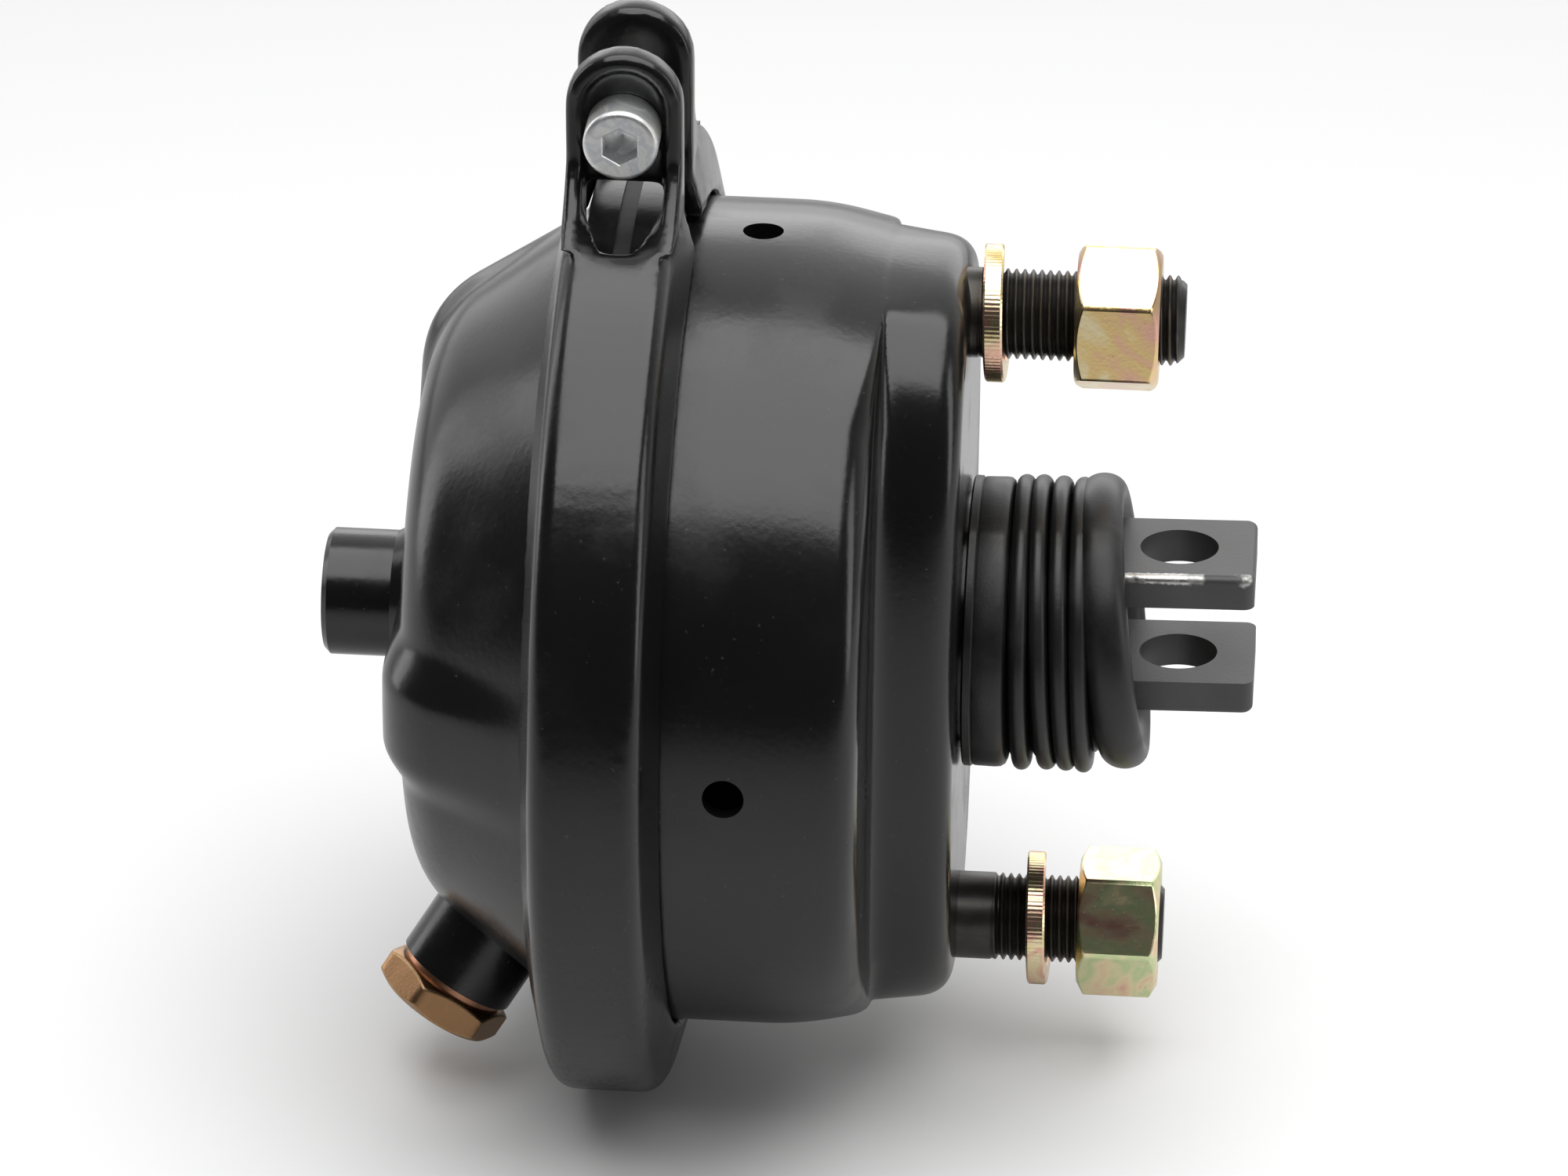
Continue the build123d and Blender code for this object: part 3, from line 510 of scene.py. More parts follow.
# ---------------------------------------------------------------- push rod and plate
# The turned push rod carries a pressed plate that the diaphragm pushes on, and a lock nut that
# holds the fork. All three are phosphated.
def phosphated_steel(name, base, gloss):
    """Dark phosphated steel with an oily sheen, patchy and slightly brown."""
    made, net = new_material(name)
    spot = net.node("ShaderNodeTexCoord", output="Object")
    cloud = net.node("ShaderNodeTexNoise", inputs={"Vector": spot, "Scale": 160, "Detail": 6})
    grain = net.node("ShaderNodeTexNoise", inputs={"Vector": spot, "Scale": 2600, "Detail": 3})
    tint = net.node("ShaderNodeMix", {"data_type": "RGBA"},
                    {"Factor": cloud, 6: grey(base), 7: (base * 2.4, base * 2.1, base * 1.8, 1)}, output=2)
    rim = net.node("ShaderNodeNewGeometry", output="Pointiness")
    worn = net.node("ShaderNodeMapRange", inputs={"Value": rim + (cloud - 0.5) * 0.06, 1: 0.53, 2: 0.6})
    tint = net.node("ShaderNodeMix", {"data_type": "RGBA"},
                    {"Factor": worn * 0.35, 6: tint, 7: (0.2, 0.19, 0.18, 1)}, output=2)
    surface = net.node("ShaderNodeBump", inputs={"Strength": 1.0, "Distance": 0.00002, "Height": grain})
    shader = net.node("ShaderNodeBsdfPrincipled",
                      inputs={"Base Color": tint, "Roughness": gloss + (cloud - 0.5) * 0.25,
                              "Metallic": 0.75, "Normal": surface})
    net.node("ShaderNodeOutputMaterial", inputs=[shader])
    return made


black_steel = phosphated_steel("phosphated steel", 0.022, 0.34)
for name in ("push_rod", "rod_lock_nut", "push_plate"):
    dress(name, black_steel)


# ---------------------------------------------------------------- return spring
# A conical spring of round wire stands between the push plate and the floor of the drum, and
# shortens as the rod is driven out.
SPRING_WIRE = 2.2 * MM
SPRING_WIDE = 31.0 * MM
SPRING_NARROW = 21.5 * MM
SPRING_TURNS = 5
SPRING_TURN_STEPS = 64
WIRE_STEPS = 20
spring_low, spring_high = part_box("return_spring")
spring_start = spring_low.x + SPRING_WIRE
spring_end = spring_high.x - SPRING_WIRE
points = []
spring_rows = SPRING_TURNS * SPRING_TURN_STEPS + 1
for row in range(spring_rows):
    share = row / (spring_rows - 1)
    turn = 2 * pi * SPRING_TURNS * share
    reach = SPRING_NARROW + (SPRING_WIDE - SPRING_NARROW) * share
    for step in range(WIRE_STEPS):
        angle = 2 * pi * step / WIRE_STEPS
        points.append((spring_start + (spring_end - spring_start) * share + SPRING_WIRE * sin(angle),
                       (reach + SPRING_WIRE * cos(angle)) * cos(turn),
                       (reach + SPRING_WIRE * cos(angle)) * sin(turn)))
ends = [tuple(range(WIRE_STEPS)), tuple(range(len(points) - 1, len(points) - WIRE_STEPS - 1, -1))]
spring = build_piece("spring_coil", points, grid_faces(spring_rows, WIRE_STEPS) + ends, black_steel,
                     None)
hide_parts("return_spring")
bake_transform(spring)


# ---------------------------------------------------------------- service housing
# The drum through which the push rod works. Its end steps up to an oval pad that carries the
# studs, with a drawn wall between them, and four breather holes go through its side.
HOUSING_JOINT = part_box("service_housing")[0].x
PAD_STEP = 14.5 * MM
PAD_FACE = (40.0 * MM, 70.0 * MM)
PAD_POWER = 2.7
PAD_EDGE_ROUND = 6.0 * MM
PAD_FOOT = 2.0 * MM
SHOULDER = (72.5 * MM, 71.2 * MM)
TAPER_START = -27.0 * MM
HUB_HOLE = 21.05 * MM
VENT_X = -37.2 * MM
VENT_RADIUS = 3.6 * MM
VENT_REACH = (66.4 * MM, 76.426 * MM)
VENT_STEPS = 40
DRUM_ROWS = 150
PAD_FLOOR = 4.0 * MM
POCKET = (-17.5 * MM, 35.5 * MM, 60.3 * MM)


def oval(half_axes, power, angle):
    """Distance from the middle of an oval to its edge in one direction."""
    across = abs(cos(angle)) / half_axes[0]
    along = abs(sin(angle)) / half_axes[1]
    return (across ** power + along ** power) ** (-1 / power)


columns = []
for step in range(ROUND_STEPS):
    angle = 2 * pi * step / ROUND_STEPS
    pad_edge = oval(PAD_FACE, PAD_POWER, angle)
    shoulder = oval(SHOULDER, 2, angle)
    pad_foot = min(pad_edge + PAD_FOOT, shoulder - 0.2 * MM)
    outline = soften([(0, HUB_HOLE, 0), (0, pad_edge, PAD_EDGE_ROUND), (-PAD_STEP, pad_foot, 5 * MM),
                      (-PAD_STEP, shoulder, 8 * MM), (TAPER_START, DRUM_RADIUS, 6 * MM),
                      (HOUSING_JOINT + flange_root, DRUM_RADIUS, 0)], 1.0 * MM)
    column = [tuple(point) for point in resample(outline, DRUM_ROWS)]
    column += [(HOUSING_JOINT + FLANGE_EDGE, FLANGE_RADIUS), (HOUSING_JOINT, FLANGE_RADIUS),
               (HOUSING_JOINT, DRUM_RADIUS - WALL), (TAPER_START, DRUM_RADIUS - WALL),
               (POCKET[0], POCKET[2]), (POCKET[0], POCKET[1]), (-PAD_FLOOR, POCKET[1]),
               (-PAD_FLOOR, HUB_HOLE), (0, HUB_HOLE)]
    columns.append([(x, radius * cos(angle), radius * sin(angle)) for x, radius in column])
points = [columns[step][row] for row in range(len(columns[0])) for step in range(ROUND_STEPS)]
drum = build_piece("drum_pressing", points, grid_faces(len(columns[0]), ROUND_STEPS), enamel,
                   "chamber", 40)
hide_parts("service_housing")

for quarter in range(4):
    turn = quarter * pi / 2
    outwards = Vector((0, sin(turn), cos(turn)))
    sideways = Vector((1, 0, 0)).cross(outwards)
    ring = []
    for reach in VENT_REACH:
        for step in range(VENT_STEPS):
            angle = 2 * pi * step / VENT_STEPS
            middle = Vector((VENT_X, 0, 0)) + outwards * reach
            ring.append(tuple(middle + Vector((1, 0, 0)) * VENT_RADIUS * cos(angle)
                              + sideways * VENT_RADIUS * sin(angle)))
    sides = grid_faces(2, VENT_STEPS)
    sides += [tuple(range(VENT_STEPS)), tuple(range(2 * VENT_STEPS - 1, VENT_STEPS - 1, -1))]
    cutter = build_piece(f"vent_cutter_{quarter}", ring, sides, enamel, None)
    cut = drum.modifiers.new("vent", "BOOLEAN")
    cut.operation = "DIFFERENCE"
    cut.solver = "EXACT"
    cut.object = cutter
    bpy.context.view_layer.update()
    finished = bpy.data.meshes.new_from_object(drum.evaluated_get(bpy.context.evaluated_depsgraph_get()))
    drum.modifiers.remove(cut)
    drum.data = finished
    bpy.data.objects.remove(cutter)
drum.data.set_sharp_from_angle(angle=radians(40))


# ---------------------------------------------------------------- clamp band
# A rolled channel holds the flanges and the diaphragm together. Its ends are bent up as arched
# lugs with a rolled edge and a pressed dish, and webs carry its shoulders up beside them.
BAND_GRAIN = 0.85 * MM
BAND_SOFTENING = 9

band_mesh = cad["clamp_band"].data.copy()
band_mesh.name = "rolled_band"
band_mesh.materials.clear()
band_mesh.materials.append(enamel)
band = bpy.data.objects.new("rolled_band", band_mesh)
bpy.context.collection.objects.link(band)
weld = band.modifiers.new("weld", "REMESH")
weld.mode = "VOXEL"
weld.voxel_size = BAND_GRAIN
weld.use_smooth_shade = True
roll = band.modifiers.new("roll", "SMOOTH")
roll.factor = 0.5
roll.iterations = BAND_SOFTENING
bpy.context.view_layer.update()
rolled = bpy.data.meshes.new_from_object(band.evaluated_get(bpy.context.evaluated_depsgraph_get()))
band.modifiers.clear()
band.data = rolled
rolled.shade_smooth()
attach(band, "chamber")
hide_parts("clamp_band")


# ---------------------------------------------------------------- clamp screw
# A socket head cap screw pulls the two lugs together. Its bright zinc is streaked round the head,
# and its tail stands out of a hexagon nut behind the far lug.
CLAMP_CLOCK = radians(3.7)
CLAMP_X = -60.0 * MM
CLAMP_REACH = 100.7 * MM
CLAMP_SEAT = 10.5 * MM
CLAMP_HEAD_END = 18.5 * MM
CLAMP_HEAD = 6.5 * MM
CLAMP_ROUND = 1.1 * MM
CLAMP_SHANK = 3.95 * MM
CLAMP_PITCH = 1.25 * MM
CLAMP_SOCKET = 3.0 * MM
CLAMP_SOCKET_DEPTH = 4.0 * MM
CLAMP_SOCKET_CONE = 1.2 * MM
CLAMP_SOCKET_LEAD = (0.15 * MM, 1.06)
CLAMP_TAIL = -21.0 * MM
CLAMP_THREAD = 0.7 * MM
CLAMP_TIP = 1.0 * MM
CLAMP_STEPS = 120
CLAMP_ROWS = 200
CLAMP_NUT_FLATS = 13.0 * MM
CLAMP_NUT_HEIGHT = 6.5 * MM
CLAMP_NUT_FACE = 6.2 * MM
clamp_up = Vector((0, -sin(CLAMP_CLOCK), cos(CLAMP_CLOCK)))
clamp_out = Vector((0, -cos(CLAMP_CLOCK), -sin(CLAMP_CLOCK)))
clamp_centre = Vector((CLAMP_X, 0, 0)) + clamp_up * CLAMP_REACH


def on_clamp(out, angle, reach):
    """Point at a distance along the clamp screw and a radius from it."""
    return tuple(clamp_centre + clamp_out * out
                 + Vector((1, 0, 0)) * (reach * cos(angle)) + clamp_up * (reach * sin(angle)))


def chromate(name, first, second, third, roughness, scale):
    """Zinc plate under a thin chromate film whose colour drifts between three tints."""
    made, net = new_material(name)
    spot = net.node("ShaderNodeTexCoord", output="Object")
    drift = net.node("ShaderNodeTexNoise",
                     inputs={"Vector": spot, "Scale": scale, "Detail": 4, "Distortion": 1.2})
    speck = net.node("ShaderNodeTexNoise", inputs={"Vector": spot, "Scale": 1400, "Detail": 4})
    film = net.node("ShaderNodeValToRGB",
                    {"stops": [(0.36, first), (0.48, second), (0.56, third), (0.68, second)]}, [drift])
    stain = net.node("ShaderNodeMapRange", inputs={"Value": speck, 1: 0.68, 2: 0.82})
    tint = net.node("ShaderNodeMix", {"data_type": "RGBA"},
                    {"Factor": stain * 0.6, 6: film, 7: (0.12, 0.08, 0.04, 1)}, output=2)
    surface = net.node("ShaderNodeBump", inputs={"Strength": 1.0, "Distance": 0.000025, "Height": speck})
    shader = net.node("ShaderNodeBsdfPrincipled",
                      inputs={"Base Color": tint, "Metallic": 1.0,
                              "Roughness": roughness + (drift - 0.5) * 0.2 + stain * 0.2, "Normal": surface})
    net.node("ShaderNodeOutputMaterial", inputs=[shader])
    return made


head = soften([(CLAMP_SEAT, CLAMP_SHANK, 0), (CLAMP_SEAT, CLAMP_HEAD - 0.2 * MM, 0.2 * MM),
               (CLAMP_SEAT + 0.3 * MM, CLAMP_HEAD, 0.2 * MM), (CLAMP_HEAD_END, CLAMP_HEAD, CLAMP_ROUND),
               (CLAMP_HEAD_END, CLAMP_SOCKET + 1.0 * MM, 0)], 0.4 * MM)
points = []
for row in range(CLAMP_ROWS):
    out = CLAMP_TAIL + (CLAMP_SEAT - CLAMP_TAIL) * row / (CLAMP_ROWS - 1)
    for step in range(CLAMP_STEPS):
        angle = 2 * pi * step / CLAMP_STEPS
        tooth = abs((out / CLAMP_PITCH - step / CLAMP_STEPS) % 1 - 0.5) * 2
        depth = CLAMP_THREAD * smooth(tooth, 0.1, 0.9)
        reach = min(CLAMP_SHANK - depth, CLAMP_SHANK - CLAMP_TIP + out - CLAMP_TAIL)
        points.append(on_clamp(out, angle, reach))
for out, reach in head:
    points += [on_clamp(out, 2 * pi * step / CLAMP_STEPS, reach) for step in range(CLAMP_STEPS)]
deepest = CLAMP_HEAD_END - CLAMP_SOCKET_DEPTH
for out, growth in ((CLAMP_HEAD_END, CLAMP_SOCKET_LEAD[1]),
                    (CLAMP_HEAD_END - CLAMP_SOCKET_LEAD[0], 1.0), (deepest, 1.0)):
    for step in range(CLAMP_STEPS):
        angle = 2 * pi * step / CLAMP_STEPS
        sector = (angle + pi / 6) % (pi / 3) - pi / 6
        points.append(on_clamp(out, angle, CLAMP_SOCKET / cos(sector) * growth))
for out, reach in ((deepest, CLAMP_SOCKET * 0.96), (deepest - CLAMP_SOCKET_CONE, 0.05 * MM)):
    points += [on_clamp(out, 2 * pi * step / CLAMP_STEPS, reach) for step in range(CLAMP_STEPS)]
rows = len(points) // CLAMP_STEPS
caps = [tuple(range(CLAMP_STEPS)), tuple(range(len(points) - 1, len(points) - CLAMP_STEPS - 1, -1))]
screw_zinc = chromate("bright zinc", (0.80, 0.80, 0.78, 1), (0.90, 0.90, 0.88, 1), (0.72, 0.74, 0.77, 1),
                      0.42, 200)
screw = build_piece("socket_screw", points, grid_faces(rows, CLAMP_STEPS) + caps, screw_zinc,
                    "chamber")
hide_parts("clamp_screw")

flat_points, nut_rows = nut_points(0, CLAMP_NUT_HEIGHT, (0, 0), CLAMP_NUT_FLATS,
                                   CLAMP_NUT_FACE, CLAMP_SHANK, pi / 6, CLAMP_STEPS)
points = [tuple(clamp_centre - clamp_out * (CLAMP_SEAT + x) + Vector((1, 0, 0)) * y + clamp_up * z)
          for x, y, z in flat_points]
faces = grid_faces(CLAMP_STEPS, nut_rows, wrap_rows=True, wrap_columns=False)
clamp_nut = build_piece("hexagon_nut_clamp", points, faces, screw_zinc, "chamber")
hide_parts("clamp_nut")


# ---------------------------------------------------------------- studs
# Two M16 x 1.5 studs of phosphated steel stand in the pad. Each keeps a plain shank at its
# foot, and the rest is rolled thread with a light film of oil.
STUD_SPACING = 120.65 * MM
STUD_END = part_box("stud_upper")[1].x
STUD_RADIUS = 8.0 * MM
THREAD_PITCH = 1.5 * MM
THREAD_DEPTH = 0.9 * MM
STUD_TIP = 1.6 * MM
THREAD_STEPS = 72
THREAD_FLANK = [0.0, 0.12, 0.5, 0.88, 1.0, 0.88, 0.5, 0.12]
stud_shanks = {"upper": 1.1 * MM, "lower": 6.0 * MM}
stud_sides = {"upper": 1, "lower": -1}


def threaded_rod(start, end, centre, radius, tip):
    """Points and faces of a rolled thread whose rows follow the helix, with a turned tip."""
    per_pitch = len(THREAD_FLANK)
    rows = int((end - start) / THREAD_PITCH * per_pitch) + per_pitch + 2
    points = []
    for row in range(rows):
        depth = THREAD_DEPTH * THREAD_FLANK[row % per_pitch]
        for step in range(THREAD_STEPS + 1):
            x = start + THREAD_PITCH * (row / per_pitch - 1 + step / THREAD_STEPS)
            x = min(max(x, start), end)
            run_in = min(1, (x - start) / THREAD_PITCH)
            reach = min(radius - depth * run_in, radius - tip + (end - x))
            angle = 2 * pi * step / THREAD_STEPS
            points.append((x, centre[0] + reach * cos(angle), centre[1] + reach * sin(angle)))
    return points, grid_faces(rows, THREAD_STEPS + 1, wrap_columns=False)


for name, side in stud_sides.items():
    centre = (0, side * STUD_SPACING / 2)
    shank_end = stud_shanks[name]
    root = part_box("stud_" + name)[0].x
    shank = [(root, 0.0), (root, STUD_RADIUS), (shank_end, STUD_RADIUS)]
    points, faces = turned(shank, centre, THREAD_STEPS)
    thread_points, thread_faces = threaded_rod(shank_end, STUD_END, centre, STUD_RADIUS, STUD_TIP)
    tip = [(STUD_END, STUD_RADIUS - STUD_TIP), (STUD_END, STUD_RADIUS * 0.3), (STUD_END, 0.0)]
    tip_points, tip_faces = turned(tip, centre, THREAD_STEPS)
    offset = len(points)
    faces += [tuple(index + offset for index in face) for face in thread_faces]
    points += thread_points
    offset = len(points)
    faces += [tuple(index + offset for index in face) for face in tip_faces]
    points += tip_points
    stud = build_piece(f"threaded_stud_{name}", points, faces, black_steel, "chamber", 40)
    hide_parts("stud_" + name)


# ---------------------------------------------------------------- lock washers
# Split spring washers under yellow chromate. Their outer edge carries the fine grooves of the
# rolled wire, and their cut ends stand apart by the lift of the coil.
WASHER_BORE = 8.45 * MM
WASHER_WIDTH = 3.75 * MM
WASHER_THICKNESS = 3.4 * MM
WASHER_GROOVES = 96
WASHER_GROOVE_DEPTH = 0.09 * MM
WASHER_CORNER = 0.35 * MM
WASHER_WRAP = 0.96
WASHER_STEPS = 288
GOLD = (0.86, 0.64, 0.28, 1)
PALE = (0.93, 0.80, 0.50, 1)
ROSE = (0.86, 0.50, 0.38, 1)
GREEN = (0.62, 0.74, 0.40, 1)
washer_zinc = chromate("washer chromate", GOLD, PALE, ROSE, 0.24, 90)
for name, side in stud_sides.items():
    low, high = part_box("lock_washer_" + name)
    section = [(WASHER_CORNER, 0), (WASHER_THICKNESS - WASHER_CORNER, 0), (WASHER_THICKNESS, WASHER_CORNER),
               (WASHER_THICKNESS, WASHER_WIDTH - WASHER_CORNER),
               (WASHER_THICKNESS - WASHER_CORNER, WASHER_WIDTH), (WASHER_THICKNESS * 0.66, WASHER_WIDTH),
               (WASHER_THICKNESS * 0.33, WASHER_WIDTH), (WASHER_CORNER, WASHER_WIDTH),
               (0, WASHER_WIDTH - WASHER_CORNER), (0, WASHER_CORNER)]
    run = high.x - low.x - WASHER_THICKNESS
    points = []
    for step in range(WASHER_STEPS + 1):
        share = step / WASHER_STEPS
        angle = 2 * pi * WASHER_WRAP * share
        groove = WASHER_GROOVE_DEPTH * (0.5 + 0.5 * cos(WASHER_GROOVES * angle))
        for across, out in section:
            reach = WASHER_BORE + out - (groove if out > WASHER_WIDTH - WASHER_CORNER / 2 else 0)
            points.append((low.x + across + run * share, reach * cos(angle),
                           side * STUD_SPACING / 2 + reach * sin(angle)))
    faces = grid_faces(WASHER_STEPS + 1, len(section))
    faces.append(tuple(range(len(section))))
    faces.append(tuple(range(len(points) - 1, len(points) - len(section) - 1, -1)))
    washer = build_piece(f"spring_washer_{name}", points, faces, washer_zinc,
                         "washer_" + name, 35)
    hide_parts("lock_washer_" + name)


# ---------------------------------------------------------------- stud nuts
# Forged M16 nuts, 24 mm across flats, chamfered at both ends. The chromate is thick enough to
# shift from straw to green and rose across one flat.
NUT_FLATS = 24.0 * MM
NUT_FACE_RADIUS = 11.3 * MM
NUT_BORE = STUD_RADIUS - 0.85 * MM
NUT_STEPS = 180
nut_turns = {"upper": 0.0, "lower": pi / 6}
nut_zincs = {
    "upper": chromate("upper nut chromate", ROSE, GOLD, PALE, 0.22, 60),
    "lower": chromate("lower nut chromate", ROSE, PALE, GREEN, 0.24, 70),
}
for name, side in stud_sides.items():
    low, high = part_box("stud_nut_" + name)
    points, width = nut_points(low.x, high.x - low.x, (0, side * STUD_SPACING / 2), NUT_FLATS,
                               NUT_FACE_RADIUS, NUT_BORE, nut_turns[name], NUT_STEPS)
    nut = build_piece(f"hexagon_nut_{name}", points, grid_faces(NUT_STEPS, width, wrap_rows=True),
                      nut_zincs[name], "nut_" + name, 22)
    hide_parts("stud_nut_" + name)


# ---------------------------------------------------------------- ring under the boot
# A short steel ring is pressed into the mounting face, and the gaiter's cuff is stretched over
# it. Only its edge shows beside the cuff.
dress("boot_ring", enamel)


# ---------------------------------------------------------------- boot
# A moulded rubber gaiter. Its cuff grips the ring on the mounting face, four soft folds take
# up the stroke, and the last roll turns in round a funnel that seals on the fork's neck. The
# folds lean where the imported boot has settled.
RING_GRIP = 23.3 * MM
CUFF_RADIUS = 26.0 * MM
CUFF_START = 0.6 * MM
CUFF_END = 8.4 * MM
FOLD_CREST = 26.6 * MM
FOLD_VALLEY = 22.6 * MM
FOLD_HALF_WIDTH = 1.62 * MM
ROLL_X = 26.8 * MM
ROLL_CREST = 26.5 * MM
ROLL_HALF_WIDTH = 3.7 * MM
ROLL_TUBE = 3.0 * MM
ROLL_LEAN = -3.1 * MM
ROLL_LIFT = 1.2 * MM
NECK_RADIUS = 12.35 * MM
NECK_X = 13.0 * MM
SEAM_HEIGHT = 0.22 * MM
SEAM_ANGLE = 2.05
DENT_DEPTH = 0.35 * MM
BOOT_STEPS = 160
# middle of each fold and how far its top leans towards the chamber
folds = [(10.6 * MM, -0.7 * MM), (14.4 * MM, -1.5 * MM), (17.9 * MM, -1.4 * MM), (21.3 * MM, -1.1 * MM)]


def arc(middle, crest, half_width, tube, lean, first, last, count):
    """Points (x, radius, lean) over a crest, from one angle to another."""
    points = []
    for step in range(count + 1):
        angle = radians(first + (last - first) * step / count)
        points.append((middle - half_width * cos(angle), crest - tube + tube * sin(angle), lean))
    return points


def gaiter_points(profile):
    """Turns a profile of (x, radius, lean), leaning it and pressing soft dents into it."""
    rows = []
    for index, (x, radius, lean) in enumerate(profile):
        weight = min(1, abs(lean) / abs(ROLL_LEAN))
        for step in range(BOOT_STEPS):
            angle = 2 * pi * step / BOOT_STEPS
            place = Vector((x * 90, cos(angle) * 1.3, sin(angle) * 1.3))
            soft = noise.noise(place) * DENT_DEPTH
            near = 0.5 - 0.5 * cos(angle)
            along = x + lean * sin(angle) + (x - ROLL_X) * 0.15 * near * (weight > 0.9)
            reach = radius + soft * (radius > NECK_RADIUS * 1.3)
            reach += SEAM_HEIGHT * max(0, 1 - abs(angle - SEAM_ANGLE) / 0.02)
            rows.append((along, reach * cos(angle), reach * sin(angle) + ROLL_LIFT * weight ** 3))
    return rows, len(profile)


def rubber(name):
    """Matt black rubber with a patchy bloom of grey and moulding grain in the skin."""
    made, net = new_material(name)
    spot = net.node("ShaderNodeTexCoord", output="Object")
    bloom = net.node("ShaderNodeTexNoise",
                     inputs={"Vector": spot, "Scale": 70, "Detail": 6, "Distortion": 0.4})
    grain = net.node("ShaderNodeTexNoise", inputs={"Vector": spot, "Scale": 1800, "Detail": 3})
    scuff = net.node("ShaderNodeMapRange", inputs={"Value": bloom, 1: 0.5, 2: 0.72})
    tint = net.node("ShaderNodeMix", {"data_type": "RGBA"},
                    {"Factor": scuff, 6: grey(0.006), 7: grey(0.017)}, output=2)
    surface = net.node("ShaderNodeBump", inputs={"Strength": 1.0, "Distance": 0.00003, "Height": grain})
    shader = net.node("ShaderNodeBsdfPrincipled",
                      inputs={"Base Color": tint, "Roughness": 0.40 + (bloom - 0.5) * 0.3 + scuff * 0.1,
                              "Metallic": 0.0, "Normal": surface})
    net.node("ShaderNodeOutputMaterial", inputs=[shader])
    return made


boot_rubber = rubber("boot rubber")
BEAD = 0.7 * MM
valley_end = folds[-1][0] + FOLD_HALF_WIDTH * 1.1
bellows = [
    (CUFF_START, RING_GRIP, 0.0), (CUFF_START, CUFF_RADIUS - BEAD * 0.4, 0.0),
    (CUFF_START + BEAD * 0.5, CUFF_RADIUS + BEAD * 0.2, 0.0),
    (CUFF_START + BEAD * 2.2, CUFF_RADIUS + BEAD * 0.2, 0.0),
    (CUFF_START + BEAD * 2.6, CUFF_RADIUS - BEAD * 0.25, 0.0), (CUFF_START + BEAD * 3.2, CUFF_RADIUS, 0.0),
    (CUFF_END - 2.0 * MM, CUFF_RADIUS + 0.1 * MM, 0.0), (CUFF_END - 1.0 * MM, CUFF_RADIUS, -0.1 * MM),
    (CUFF_END - 0.3 * MM, CUFF_RADIUS - 0.5 * MM, -0.2 * MM), (CUFF_END, CUFF_RADIUS - 1.4 * MM, -0.3 * MM),
    (CUFF_END + 0.2 * MM, FOLD_VALLEY + 0.6 * MM, -0.4 * MM),
]
for middle, lean in folds:
    bellows += arc(middle, FOLD_CREST, FOLD_HALF_WIDTH, FOLD_HALF_WIDTH, lean, -8, 188, 12)
    bellows.append((middle + FOLD_HALF_WIDTH * 1.08, FOLD_VALLEY + 0.5 * MM, lean))
bellows += [(valley_end, FOLD_VALLEY - 1.5 * MM, -1.6 * MM), (CUFF_END, FOLD_VALLEY - 1.6 * MM, -0.3 * MM),
            (CUFF_END, RING_GRIP, 0.0)]
points, rows = gaiter_points(bellows)
bellows_piece = build_piece("boot_bellows", points, grid_faces(rows, BOOT_STEPS, wrap_rows=True),
                            boot_rubber, None, 40)
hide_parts("boot")
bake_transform(bellows_piece)

mouth = [(valley_end - 0.4 * MM, FOLD_VALLEY - 1.4 * MM, -1.6 * MM),
         (valley_end - 0.2 * MM, FOLD_VALLEY + 0.3 * MM, -1.7 * MM)]
mouth += arc(ROLL_X, ROLL_CREST, ROLL_HALF_WIDTH, ROLL_TUBE, ROLL_LEAN, -15, 200, 26)
mouth += [(ROLL_X + ROLL_HALF_WIDTH * 0.55, ROLL_CREST - ROLL_TUBE * 1.85, ROLL_LEAN),
          (ROLL_X - ROLL_HALF_WIDTH * 0.3, ROLL_CREST - ROLL_TUBE * 2.1, ROLL_LEAN * 0.9),
          (ROLL_X - ROLL_HALF_WIDTH * 1.8, NECK_RADIUS + 4.5 * MM, ROLL_LEAN * 0.5),
          (NECK_X + 3.0 * MM, NECK_RADIUS + 1.2 * MM, 0.0), (NECK_X + 2.4 * MM, NECK_RADIUS, 0.0),
          (NECK_X, NECK_RADIUS, 0.0), (NECK_X, NECK_RADIUS + 2.4 * MM, 0.0),
          (ROLL_X - ROLL_HALF_WIDTH * 1.7, FOLD_VALLEY - 2.6 * MM, ROLL_LEAN * 0.5)]
points, rows = gaiter_points(mouth)
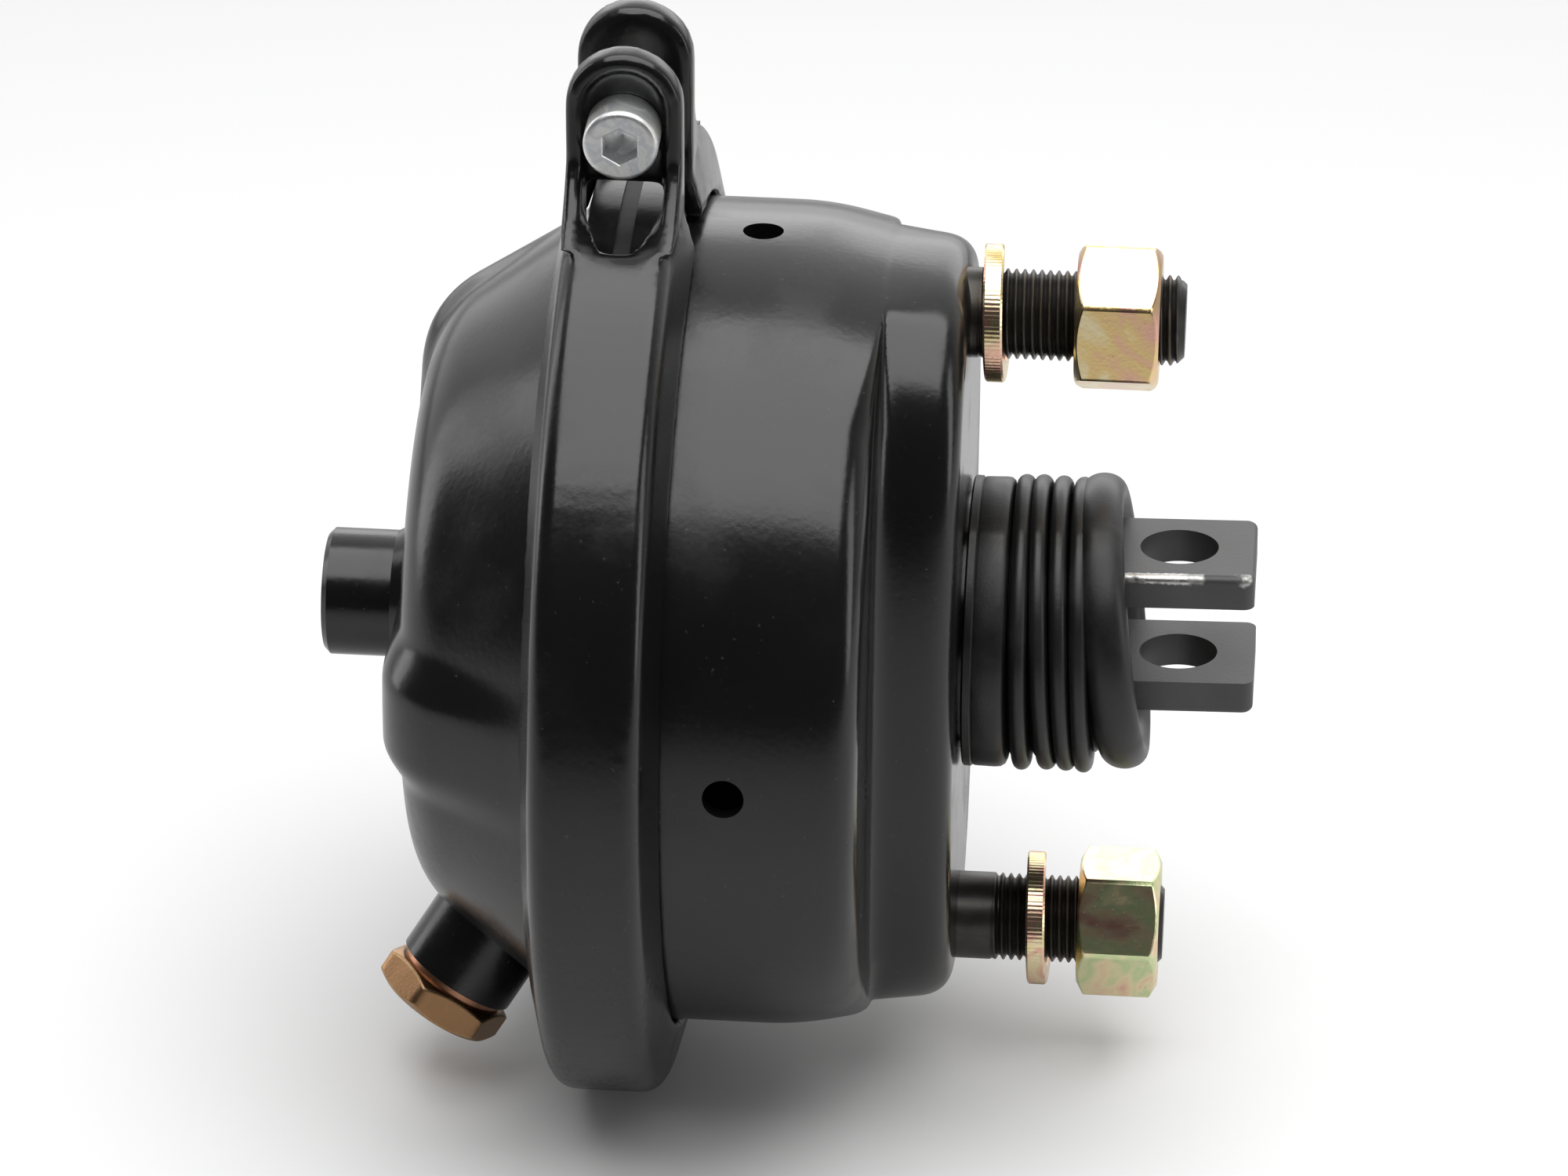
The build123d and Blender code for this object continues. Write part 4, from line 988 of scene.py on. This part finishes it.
build_piece("boot_mouth", points, grid_faces(rows, BOOT_STEPS, wrap_rows=True),
            boot_rubber, "rod", 40)


# ---------------------------------------------------------------- fork
# The forged yoke that is threaded on the push rod and takes the clevis pin. Its blackened finish
# is mottled, and its near upper edge is painted pale: rubbed bare metal and a painted highlight.
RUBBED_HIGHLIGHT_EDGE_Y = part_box("fork")[0].y
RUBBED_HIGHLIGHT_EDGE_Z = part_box("fork")[1].z
RUBBED_HIGHLIGHT_DROP = 0.8 * MM


def blackened(name):
    """Blackened forging: satin grey, mottled, with one edge painted pale as rubbed metal and a painted
    highlight.
    """
    made, net = new_material(name)
    spot = net.node("ShaderNodeTexCoord", output="Object")
    cloud = net.node("ShaderNodeTexNoise", inputs={"Vector": spot, "Scale": 120, "Detail": 7})
    grain = net.node("ShaderNodeTexNoise", inputs={"Vector": spot, "Scale": 1500, "Detail": 4})
    lengthwise = net.node("ShaderNodeSeparateXYZ", inputs=[spot], output=0)
    across = net.node("ShaderNodeSeparateXYZ", inputs=[spot], output=1)
    upwards = net.node("ShaderNodeSeparateXYZ", inputs=[spot], output=2)
    # A band along the near upper edge is painted pale and metallic: partly rubbed bare metal, partly a
    # painted highlight.
    slant = (across - RUBBED_HIGHLIGHT_EDGE_Y) + (RUBBED_HIGHLIGHT_EDGE_Z - RUBBED_HIGHLIGHT_DROP - upwards)
    close = net.node("ShaderNodeMapRange",
                     inputs={"Value": slant + (grain - 0.5) * 0.0010, 1: 0.0011, 2: 0.0006})
    patch = net.node("ShaderNodeMapRange", inputs={"Value": cloud + lengthwise * 4.0, 1: 0.60, 2: 0.68})
    rubbed_and_highlight = close * patch
    tint = net.node("ShaderNodeMix", {"data_type": "RGBA"},
                    {"Factor": cloud, 6: grey(0.045), 7: grey(0.085)}, output=2)
    tint = net.node("ShaderNodeMix", {"data_type": "RGBA"},
                    {"Factor": rubbed_and_highlight, 6: tint, 7: (0.7, 0.69, 0.67, 1)}, output=2)
    surface = net.node("ShaderNodeBump", inputs={"Strength": 1.0, "Distance": 0.00004, "Height": grain})
    shader = net.node("ShaderNodeBsdfPrincipled",
                      inputs={"Base Color": tint, "Metallic": 0.35 + rubbed_and_highlight * 0.6,
                              "Roughness": 0.46 + (cloud - 0.5) * 0.2 - rubbed_and_highlight * 0.2, "Normal": surface})
    net.node("ShaderNodeOutputMaterial", inputs=[shader])
    return made


dress("fork", blackened("blackened forging"), 25)
